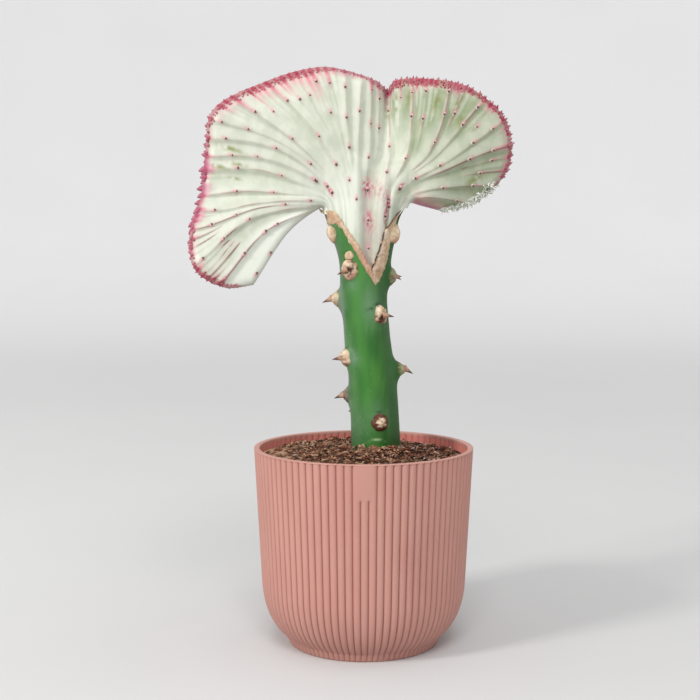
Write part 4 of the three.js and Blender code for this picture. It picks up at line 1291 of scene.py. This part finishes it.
def tubercle_sites(side):
    """u, v and size of every tubercle: those of the ridge table on the front, and others of the
    same spacing on the back."""
    sites = []
    for number, (onset, near, halfway, far, spots) in enumerate(RIDGES):
        levels = np.array(spots)
        if side > 0:
            levels = np.arange(0.5 * onset + 0.25 + 0.12 * chance(number, 71), 0.96, 0.17)
        at = through(RIDGE_STAGES, (near, halfway, far), np.clip(levels, 0.05, 1))
        size = 0.6 + 0.5 * chance(10 * number + np.arange(len(levels)), 72 + side)
        sites.append(np.column_stack([at, levels, size]))
    if side < 0:
        sites.append(np.array(NECK_SPOTS))
    return np.concatenate(sites)


def build_tubercles():
    """Small warts along the ridges, each an oval dome with a skirt under the skin, pink on the
    side towards the margin and dark at its top, where two short spines stand."""
    reach = np.array([1.25, 1.1, 0.9, 0.65, 0.38, 0.12])
    lift = np.array([-0.5, 0.0, 0.28, 0.62, 0.88, 1.0])
    turn = full_turn(12)
    warts, dark, blush = [], [], []
    spines = []
    ring = (slice(None), None, None)
    level = (None, slice(None), None)
    point = (None, None, slice(None))
    for side in (-1, 1):
        u, v, size = tubercle_sites(side).T
        place, outward, along, across = skin_frame(u, v, side)
        big = size[ring][..., None]
        far = 1.6 * np.cos(turn)[point] * reach[level] + 0.3
        wide = 0.85 * np.sin(turn)[point] * reach[level]
        high = 0.5 * lift[level] + 0 * far
        dome = (far[..., None] * along[:, None, None] + wide[..., None] * across[:, None, None]
                + high[..., None] * outward[:, None, None])
        warts.append(place[:, None, None] + big * dome)
        towards = np.cos(turn)[point] + 0 * reach[level] + 0 * u[ring]
        crown = smooth(0.85, 0.4, reach)[level] + 0 * towards
        dark.append(crown * (0.95 - 0.45 * smooth(-0.1, 0.9, towards)))
        blush.append(0.85 * smooth(-0.6, 0.6, towards) * smooth(1.35, 0.8, reach)[level])
        for lean in (-1, 1):
            tip = unit(outward + 0.35 * along + 0.55 * lean * across)
            root = place + size[:, None] * (0.5 * outward + 0.3 * along + 0.35 * lean * across)
            climb = 1.25 * size[:, None] * np.array([0, 0.5, 1.0])
            thick = size[:, None] * np.array([0.36, 0.26, 0.05])
            line = root[:, None] + climb[..., None] * tip[:, None]
            one = unit(np.cross(tip, along))
            two = np.cross(tip, one)
            spines.append(tube(line, one[:, None], two[:, None], thick, 5))
    put_lofts("crest_warts", np.concatenate(warts), CREST_SKIN, slot="crest_skin",
              dark=np.concatenate(dark), blush=np.concatenate(blush))
    hairs = np.concatenate(spines)
    put_lofts("crest_wart_spines", hairs, CREST_SKIN, slot="crest_skin",
              dark=np.full(hairs.shape[:3], 0.9))


def frill_sites():
    """u, v, side and size of every tooth on the margin: one large tooth where each ridge ends, and
    rows of smaller ones between, more rows where the crimson band is deep."""
    ends = ALL_RIDGES[:, 3] + 0.0375 * (ALL_RIDGES[:, 3] - ALL_RIDGES[:, 2])
    large = 1.0 + 0.5 * chance(np.arange(len(ends)), 80)
    sites = [np.column_stack([ends, np.full(len(ends), 0.992), 0 * ends, large])]
    for row, (side, level, scale) in enumerate(FRILL_ROWS):
        count = int(MARGIN_LENGTH / 2.3)
        keys = np.arange(count)
        u = (keys + 0.5 + 0.9 * (chance(keys, 81 + row) - 0.5)) / count
        depth = margin_at(u, "band")[0]
        from_edge = (1 - level) * FAN_LENGTH
        sparse = 0.72 * smooth(0.12, 0.17, u) * smooth(0.31, 0.27, u)
        keep = (from_edge < depth * 0.75) & (chance(keys, 75 + row) > sparse)
        v = level + 0.012 * (chance(keys, 91 + row) - 0.5)
        size = scale * (0.5 + 0.65 * chance(keys, 101 + row))
        sites.append(np.column_stack([u, v, side + 0 * u, size])[keep])
    return np.concatenate(sites)


def build_frill():
    """The margin's teeth: curved, tapering, slightly flat cones, pink at the root with a dark tip,
    mauve on the left margin and pale green at the right lobe's end."""
    taper = np.array([0.8, 1.0, 0.86, 0.6, 0.32, 0.05])
    climb = np.array([-0.5, 0.05, 0.35, 0.62, 0.85, 1.0])
    u, v, side, size = frill_sites().T
    keys = np.arange(len(u))
    front = skin_frame(u, np.minimum(v, 0.985), -1)
    back = skin_frame(u, np.minimum(v, 0.985), 1)
    pick = (side <= 0)[:, None]
    place, outward, along, across = [np.where(pick, f, b) for f, b in zip(front, back)]
    rim = (side == 0)[:, None]
    place = np.where(rim, crest_at(u, 0 * u + 0.995), place)
    length, stout, lean = margin_at(u, "length", "stoutness", "lean")
    size = size * length
    wander = chance(keys, 111) - 0.5
    rise = np.where(side == 0, 0.1, 0.75)
    down = np.interp(u, [0.1, 0.16, 0.28, 0.33], [0.0, 0.6, 0.5, 0.0])
    aim = unit(along + outward * rise[:, None] + across * (0.7 * wander)[:, None]
               + np.array([0, 0, -1.0]) * down[:, None])
    bend = across * (chance(keys, 121) - 0.5)[:, None] + np.array([0, 0, 0.3])
    one = unit(np.cross(aim, np.array([0.0, 1.0, 0.05])))
    two = np.cross(aim, one)
    width = 0.34 + 0.17 * size
    flat = (width * stout)[:, None] * one
    deep = 0.8 * (width * np.minimum(stout, 1.3))[:, None] * two
    line = climb[None, :, None] * aim[:, None] + 0.35 * (climb ** 2)[None, :, None] * bend[:, None]
    line = place[:, None] + size[:, None, None] * line
    rings = tube(line, flat[:, None], deep[:, None], taper, 6)
    tall = climb[None, :, None] + np.zeros(rings.shape[:3])
    pale = per_loft(np.clip(-lean, 0, 1), rings)
    violet = per_loft(np.clip(lean, 0, 1), rings)
    luck = per_loft(chance(keys, 141), rings)
    worn = per_loft(chance(keys, 131), rings)
    put_lofts("crest_frill", rings, CREST_SKIN, slot="crest_skin",
              dark=(1 - 0.7 * pale) * smooth(0.7, 1.0, tall) * (0.4 + 0.5 * worn),
              crimson=(1 - pale) * (0.35 + 0.65 * luck) * (1 - 0.5 * violet),
              mauve=0.9 * violet, olive=0.3 * pale * (1 - luck),
              blush=0.75 * (1 - pale), white=0.6 * pale * luck)


def build_filaments():
    """The pale frill under the right lobe's end: thin curled threads, each an arc that turns on
    itself as it leaves the margin, in random directions."""
    random = np.random.default_rng(41)
    count = FILAMENTS
    u = random.uniform(0.905, 0.998, count)
    v = 1 - 0.085 * random.uniform(0, 1, count) ** 1.4
    side = np.where(random.uniform(0, 1, count) < 0.7, -1.0, 1.0)
    front, back = skin_frame(u, v, -1), skin_frame(u, v, 1)
    place, outward, along, across = [np.where(side[:, None] < 0, f, b) for f, b in zip(front, back)]
    aim = unit(along * random.uniform(-0.3, 1.0, (count, 1))
               + outward * random.uniform(0.2, 1.0, (count, 1))
               + across * random.uniform(-0.8, 0.8, (count, 1)))
    turned = unit(np.cross(aim, unit(random.normal(0, 1, (count, 3)))))
    length = random.uniform(1.8, 4.2, count)[:, None, None]
    t = np.linspace(0, 1, 7)[None, :, None]
    curl = random.uniform(0.6, 2.6, count)[:, None, None]
    arc = np.sin(curl * t) * aim[:, None] + (1 - np.cos(curl * t)) * turned[:, None]
    path = place[:, None] - 0.3 * outward[:, None] + length / curl * arc
    tangent = np.cos(curl * t) * aim[:, None] + np.sin(curl * t) * turned[:, None]
    side_way = np.cross(aim, turned)[:, None] + 0 * path
    other = np.cross(tangent, side_way)
    thick = random.uniform(0.32, 0.55, count)[:, None] * (1 - 0.6 * t[..., 0] ** 2)
    rings = tube(path, side_way, other, thick, 5)
    shade = random.uniform(0, 1, count)
    put_lofts("crest_filaments", rings, CREST_SKIN, slot="crest_skin",
              bright=per_loft(np.where(shade > 0.2, 1.0, 0.4), rings),
              olive=per_loft(np.where(shade < 0.16, 0.55, 0.05), rings))


# The spine shields
def shield_pad(number, turn, level, wide, tall, form):
    """The oval pad over a tubercle: height = dome + rim - hollow + cone, as functions of the
    distance from the middle (1 at the rim), on an outline and a skin that wander."""
    dome, rim, hollow, aside, above, cone, dark, green, grey = SHIELD_FORMS[form]
    angle = math.radians(turn)
    outward = np.array([math.sin(angle), -math.cos(angle), 0])
    sideways = np.array([math.cos(angle), math.sin(angle), 0])
    reach = np.array([1.04, 1.06, 1.0, 0.92, 0.83, 0.73, 0.62, 0.5, 0.38, 0.26, 0.14, 0.05])
    reach = reach[:, None]
    around = full_turn(SHIELD_SIDES)[None]
    ragged = drift_at(2 * np.cos(around), 2 * np.sin(around), 5 * number, 1.0, 2)
    ragged = 1 + 0.34 * (ragged - 0.5)
    x = reach * np.cos(around) * ragged
    z = reach * np.sin(around) * ragged
    skin = stem_skin(level + tall * z, angle + wide * x / STEM_RADIUS)
    off = np.hypot(x - aside, z - above)
    rough = drift_at(wide * x, tall * z, 9.0 * number, 1.5, 7) - 0.5
    lift = dome * np.sqrt(np.maximum(0, 1 - (reach / 1.06) ** 2))
    lift = lift + rim * bell((reach - 0.72) / 0.2)
    lift = lift - hollow * bell(off / 0.34) + cone * np.exp(-(reach / 0.4) ** 1.4)
    lift = lift + 1.1 * rough * smooth(1.0, 0.8, reach) * (0.4 if form == "nub" else 1.0)
    lift = np.where(reach > 1.05, -0.2, lift)
    lift[0] = -1.6
    pad = skin + lift[..., None] * outward
    cracks = drift_at(wide * x, tall * z, 3.0 * number, 1.1, 3)
    edge = smooth(0.84, 1.02, reach) + 0 * x
    # The shield's own brown, deepest in the hollow, where it is partly painted shade
    brown_and_hollow_shade = dark * bell(off / 0.42) * smooth(0.1, 0.4, cracks)
    brown_and_hollow_shade = brown_and_hollow_shade + 0.45 * edge * smooth(0.35, 0.7, cracks)
    if form == "scab":
        ring = smooth(0.42, 0.7, off + 0.3 * (cracks - 0.5))
        brown_and_hollow_shade = 0.95 * ring + 0.5 * smooth(0.45, 0.65, cracks)
    brown_and_hollow_shade = brown_and_hollow_shade + dark * 0.5 * smooth(0.55, 0.75, cracks)
    rosy = 0.6 * smooth(0.1, 0.9, -np.sin(around)) * smooth(0.4, 0.8, reach)
    leafy = green * smooth(0.25, 0.8, reach) + 0.35 * smooth(0.9, 1.04, reach) + 0 * x
    masks = dict(dark=brown_and_hollow_shade, rosy=rosy + 0 * x, leafy=leafy, slate=grey + 0 * x)
    return pad, masks, outward, sideways


def shield_spine(seat, outward, sideways, aside, down, length, form):
    """A spine: a cone of radius 2.1 (1 - t)^1.1, 1.4 for a short one, with a swollen foot, bent
    slightly down."""
    up = np.array([0.0, 0.0, 1.0])
    aim = (math.cos(down) * math.cos(aside) * outward + math.cos(down) * math.sin(aside) * sideways
           - math.sin(down) * up)
    one = unit(np.cross(aim, up + 0.01))
    two = np.cross(aim, one)
    t = np.linspace(0, 1, 12)
    thick = (2.1 if length > 5 else 1.4) * (1 - t) ** 1.1 + 0.07 + 0.4 * bell(t / 0.12)
    line = seat + 0.7 * outward + t[:, None] * length * 1.05 * aim - (t ** 2)[:, None] * 0.5 * up
    cone = tube(line, one, two, thick, SHIELD_SIDES)
    tip = smooth(0.3, 0.75, t)[:, None] + 0 * cone[..., 0]
    slate = tip * (0.9 if form in ("pad", "grey") else 0.35)
    return cone, dict(dark=0.35 + 0.6 * tip, rosy=0.5 * (1 - tip), leafy=0 * tip, slate=slate)


def join_lofts(shapes):
    """Points, faces and masks of one piece made of several lofts: (rings, masks) each."""
    points = []
    faces = []
    offset = 0
    for rings, _ in shapes:
        body = with_ends(rings[None]).reshape(-1, 3)
        faces += [part + offset for part in loft_faces(1, rings.shape[0], rings.shape[1])]
        points.append(body)
        offset += len(body)
    values = {}
    for key in shapes[0][1]:
        parts = [with_ends(masks[key][None, ..., None]).ravel() for _, masks in shapes]
        values[key] = np.clip(np.concatenate(parts), 0, 1)
    return np.concatenate(points), faces, values


def build_shields():
    """Every shield with its spines, each its own piece."""
    for number, (turn, level, wide, tall, _, spines, form) in enumerate(SHIELDS, 1):
        pad, masks, outward, sideways = shield_pad(number, turn, level, wide, tall, form)
        shapes = [(pad, masks)]
        seat = stem_skin(np.array(float(level)), np.array(math.radians(turn)))
        if number == 2:
            lump = shield_pad(22, turn + LUMP[0], level + LUMP[1], *LUMP[2:], "nub")
            shapes.append(lump[:2])
        for aside, down, length in spines:
            shapes.append(shield_spine(seat, outward, sideways, aside, down, length, form))
        points, faces, values = join_lofts(shapes)
        name = f"spine_shield_{number:02d}"
        put(f"{name}_horn", points, faces, SHIELD_HORN, replaced=(name,), slot="shield_horn",
            **values)


# The potting mix
def from_stem(x, y):
    """Distance from the stem's axis at the bed."""
    return np.hypot(x - STEM_IN_SOIL[0], y - STEM_IN_SOIL[1])


def left_hollow(x):
    """1 in the smooth hollow by the left rim."""
    return smooth(-34, -50, x)


def right_share(x):
    """0 left of the bed's middle, 1 near the right rim."""
    return smooth(-5, 35, x)


def soil_height(x, y):
    """The bed's height: a slight tilt, a mound round the stem, a collar that climbs its skin at
    the front, and soft lumps, lower in the smooth hollow at the left."""
    away = from_stem(x, y)
    lumps = 2.0 * (drift_at(x, y, 0, 7.0, 201) - 0.5) + 2.2 * (drift_at(x, y, 0, 3.0, 202) - 0.5)
    lumps = lumps * (1 - 0.7 * left_hollow(x))
    collar = 3.0 * bell((away - 15) / 5.0) * smooth(8, -8, y)
    mound = SOIL_MOUND * bell(away / SOIL_MOUND_REACH)
    return SOIL_LEVEL - 0.9 - SOIL_TILT * x + mound + collar + lumps


def tan_share(x, y):
    """Where the mix is pale and tan: the hollow at the left rim, and a patch before the stem."""
    left = left_hollow(x) * smooth(44, 20, np.abs(y))
    clump = bell((x - 17) / 9, (y + 16) / 7)
    return np.clip(left + clump, 0, 1)


def build_soil():
    """The bed: rings out to the pot's wall, then down it and closed underneath."""
    sides = 260
    angle = full_turn(sides)
    radii = np.concatenate([[1.4], np.linspace(2, 65.4, 110)])[::-1]
    x = radii[:, None] * np.cos(angle)
    y = radii[:, None] * np.sin(angle)
    fine = drift_at(x, y, 0, 1.3, 205) - 0.5
    rough = 1.3 * fine * (1 - 0.7 * tan_share(x, y)) * smooth(66, 62, radii)[:, None]
    top = np.stack([x, y, soil_height(x, y) + rough], -1)
    wall_height = np.array([4.4, 10.4, 22.4, 38.3, 112.0])
    wall_radius = np.array([40.4, 49.8, 58.2, 61.1, 65.0])
    x = wall_radius[:, None] * np.cos(angle)
    y = wall_radius[:, None] * np.sin(angle)
    wall = np.stack([x, y, wall_height[:, None] + 0 * angle], -1)
    rings = np.concatenate([wall, top])
    tan = 0.05 + 0.2 * drift(rings, 3.0, 206) + 0.75 * tan_share(rings[..., 0], rings[..., 1])
    put_lofts("soil_bed", rings[None], SOIL, replaced=("potting_mix",), slot="potting_mix",
              tan=np.clip(tan, 0, 1)[None])


def scatter(random, count, reach=64.2):
    """Random places on the bed, clear of the stem: x and y."""
    angle = random.uniform(0, 2 * math.pi, 3 * count)
    radius = reach * np.sqrt(random.uniform(0, 1, 3 * count))
    x, y = radius * np.cos(angle), radius * np.sin(angle)
    clear = from_stem(x, y) > STEM_CLEARANCE
    return x[clear][:count], y[clear][:count]


def put_loose(name, rings, tan, rust, pale):
    """Puts loose bits of the mix, each with its own shade."""
    put_lofts(name, rings, SOIL, slot="potting_mix", tan=per_loft(tan, rings),
              rust=per_loft(rust, rings), pale=per_loft(pale, rings))


def build_crumbs():
    """Loose crumbs: rounded, uneven lumps of four rings, browner at the left, darker at the right
    with pale flecks of perlite."""
    random = np.random.default_rng(17)
    count = CRUMBS
    x, y = scatter(random, count)
    size = 0.5 + 1.5 * random.uniform(0, 1, count) ** 2.4
    squash = random.uniform(0.35, 1.0, (count, 3))
    turn = random.uniform(0, math.pi, (count, 1, 1))
    level = np.array([-0.85, -0.3, 0.35, 0.85])[None, :, None]
    wide = np.sqrt(1 - level ** 2)
    ring = full_turn(6)
    knobs = 1 + 0.5 * (random.uniform(0, 1, (count, 4, 6)) - 0.5)
    reach = size[:, None, None]
    a = wide * np.cos(ring + turn) * knobs * squash[:, :1, None] * reach
    b = wide * np.sin(ring + turn) * knobs * squash[:, 1:2, None] * reach
    c = level * knobs * squash[:, 2:, None] * reach
    tilt = random.uniform(-0.9, 0.9, (count, 1, 1))
    a, c = a * np.cos(tilt) - c * np.sin(tilt), a * np.sin(tilt) + c * np.cos(tilt)
    z = soil_height(x, y) + 0.4 * size
    keep = random.uniform(0, 1, count) > 0.85 * tan_share(x, y)
    rings = np.stack([x[:, None, None] + a, y[:, None, None] + b, z[:, None, None] + c], -1)
    shade = random.uniform(0, 1, count)
    side = right_share(x)
    tan = np.clip(0.75 * shade ** 2 + 0.15 - 0.3 * side, 0, 1)
    rust = np.where(random.uniform(0, 1, count) < 0.2, 0.6, 0.0) * (1 - 0.6 * side)
    pale = np.where(random.uniform(0, 1, count) < 0.10 * side, 0.75, 0.0)
    perlite = (pale > 0)[:, None, None, None]
    middle = rings.mean(axis=(1, 2), keepdims=True)
    rings = middle + (rings - middle) * np.where(perlite, 0.6, 1.0) + np.array([0, 0, 0.35]) * perlite
    put_loose("soil_crumbs", rings[keep], tan[keep], rust[keep], pale[keep])


def strands(x, y, height, heading, length, radius, bend, lift, dip):
    """Curved fibres: a bent line that rises and falls, one end dipping, with an oval section."""
    t = np.linspace(0, 1, 5)[None]
    turn = heading[:, None] + bend[:, None] * (t - 0.5)
    run = length[:, None] * (t - 0.5)
    px = x[:, None] + run * np.cos(turn)
    py = y[:, None] + run * np.sin(turn)
    pz = height[:, None] + lift[:, None] * np.sin(math.pi * t) + dip[:, None] * (t - 0.5)
    path = np.stack([px, py, pz], -1)
    tangent = unit(np.gradient(path, axis=1))
    side = unit(np.cross(tangent, np.array([0, 0, 1.0])))
    over = np.cross(side, tangent)
    thick = radius[:, None] * (0.35 + 0.65 * np.sin(math.pi * np.clip(t, 0.08, 0.92)))
    return tube(path, side, 0.6 * over, thick, 5)


def build_fibres():
    """Flakes and coir fibres all over the bed, with a tan tangle in front of the stem."""
    random = np.random.default_rng(23)
    count = FIBRES
    x, y = scatter(random, count, 62.0)
    clump = np.arange(count) < TANGLED_FIBRES
    angle = random.uniform(-2.2, -0.4, count)
    far = random.uniform(15.5, 24, count)
    x = np.where(clump, STEM_IN_SOIL[0] + far * np.cos(angle), x)
    y = np.where(clump, STEM_IN_SOIL[1] + far * np.sin(angle), y)
    length = random.uniform(2.0, 5.6, count)
    length = length * np.where(random.uniform(0, 1, count) < 0.12, 1.8, 1.0)
    radius = random.uniform(0.35, 1.0, count) * np.where(length > 5.8, 0.5, 1.0)
    heading = random.uniform(0, 2 * math.pi, count)
    bend = random.uniform(-1.2, 1.2, count)
    lift = random.uniform(0.0, 0.9, count)
    dip = random.uniform(-1.6, 1.6, count)
    height = soil_height(x, y) + random.uniform(0.3, 1.7, count) + 0.8 * clump
    rim = np.hypot(x, y) + 0.5 * length
    keep = (rim < 65) & (random.uniform(0, 1, count) > 0.8 * tan_share(x, y) * (x < -20))
    rings = strands(x, y, height, heading, length, radius, bend, lift, dip)
    shade = random.uniform(0, 1, count)
    side = right_share(x)
    tan = np.clip(0.05 + 1.1 * smooth(0.45, 0.85, shade) + 0.3 * clump - 0.45 * side, 0, 1)
    rust = np.where(random.uniform(0, 1, count) < 0.4, 0.6, 0.05)
    pale = np.where(random.uniform(0, 1, count) < 0.02 + 0.07 * side, 0.6, 0.0)
    put_loose("soil_fibres", rings[keep], tan[keep], rust[keep], pale[keep])


build_pot()
build_stem()
build_callus()
build_crest()
build_tubercles()
build_frill()
build_filaments()
build_shields()
build_soil()
build_crumbs()
build_fibres()


# Stage, light and camera
def make_stage_paper():
    """Pale paper, with painted shade round the pot and painted light far behind it, by the distance from
    the pot.
    """
    material, tree, shader = new_material("stage_paper", Specular_IOR_Level=0.1)
    cloud = using(tree, MOTTLE, Size=400.0, Height=1.0, Low=0.3, High=0.7)
    place = wire(tree, "ShaderNodeTexCoord").outputs["Object"]
    reach = wire(tree, "ShaderNodeVectorMath", {"operation": "LENGTH"}, _0=place).outputs["Value"]
    nearness = mask_math(tree, "DIVIDE", 0.8, mask_math(tree, "ADD", reach, 0.8))
    # Painted shade: darker paper near the pot; painted light: paler paper far behind it
    near = between(tree, nearness, 0.40, 0.88)
    far = between(tree, reach, 0.8, 3.8)
    colour = mixed(tree, far, (0.66, 0.66, 0.66, 1), (0.96, 0.96, 0.965, 1))
    colour = mixed(tree, near, colour, (0.56, 0.56, 0.56, 1))
    colour = mixed(tree, mask_math(tree, "MULTIPLY", cloud, 0.1), colour, (0.8, 0.8, 0.8, 1))
    normal = using(tree, GRAIN, Fine=1.0, Coarse=20.0, Height=0.01, Share=0.5)
    finish_material(tree, shader, colour, 0.85, normal)
    return material


def build_stage():
    """A pale round floor that curves up into a wall: a profile (radius, height) turned about Z."""
    bend = np.linspace(0, math.pi / 2, 24)
    radius = np.concatenate([[300, 1000, 2000], STAGE_REACH + STAGE_BEND * np.sin(bend)])
    height = np.concatenate([[0, 0, 0], STAGE_BEND * (1 - np.cos(bend))])
    sides = 96
    angle = full_turn(sides)
    rings = np.stack([radius[:, None] * np.cos(angle), radius[:, None] * np.sin(angle),
                      height[:, None] + 0 * angle], -1)
    points = np.concatenate([[[0, 0, 0]], rings.reshape(-1, 3)]) * MM
    side = np.arange(sides)
    centre = np.stack([0 * side, 1 + side, 1 + (side + 1) % sides], -1)
    ring, side = np.meshgrid(np.arange(len(radius) - 1), np.arange(sides), indexing="ij")
    start = 1 + ring * sides + side
    turned = 1 + ring * sides + (side + 1) % sides
    walls = np.stack([start, start + sides, turned + sides, turned], -1).reshape(-1, 4)
    mesh = bpy.data.meshes.new("floor")
    mesh.from_pydata(points.tolist(), [], centre.tolist() + walls.tolist())
    mesh.polygons.foreach_set("use_smooth", np.ones(len(mesh.polygons), bool))
    mesh.materials.append(make_stage_paper())
    floor = bpy.data.objects.new("floor", mesh)
    bpy.context.scene.collection.objects.link(floor)


def add_light(name, turn, rise, distance, size, power, colour):
    """A soft square light aimed at the plant's middle, `turn` degrees to the right of the front
    and `rise` degrees up; its distance and size in millimetres, its power in watts."""
    data = bpy.data.lights.new(name, "AREA")
    data.size = size * MM
    data.energy = power
    data.color = colour
    light = bpy.data.objects.new(name, data)
    turn, rise = math.radians(turn), math.radians(rise)
    light.rotation_euler = (math.pi / 2 - rise, 0, turn)
    reach = distance * MM * math.cos(rise)
    light.location = (reach * math.sin(turn), -reach * math.cos(turn),
                      AIM_HEIGHT * MM + distance * MM * math.sin(rise))
    bpy.context.scene.collection.objects.link(light)


build_stage()
add_light("key", *KEY_LIGHT)
add_light("front", *FRONT_LIGHT)

world = bpy.data.worlds.new("studio")
world.use_nodes = True
world.node_tree.nodes["Background"].inputs["Color"].default_value = (1.0, 1.0, 1.0, 1.0)
world.node_tree.nodes["Background"].inputs["Strength"].default_value = ROOM_LIGHT
bpy.context.scene.world = world
bpy.context.scene.view_settings.view_transform = "Standard"

camera_data = bpy.data.cameras.new("camera")
camera_data.lens = CAMERA_LENS
camera_data.sensor_width = 36.0
camera_data.clip_end = 50.0
camera = bpy.data.objects.new("camera", camera_data)
camera.location = [c * MM for c in CAMERA_PLACE]
camera.rotation_euler = (math.radians(90 - CAMERA_PITCH), 0, 0)
bpy.context.scene.collection.objects.link(camera)
bpy.context.scene.camera = camera
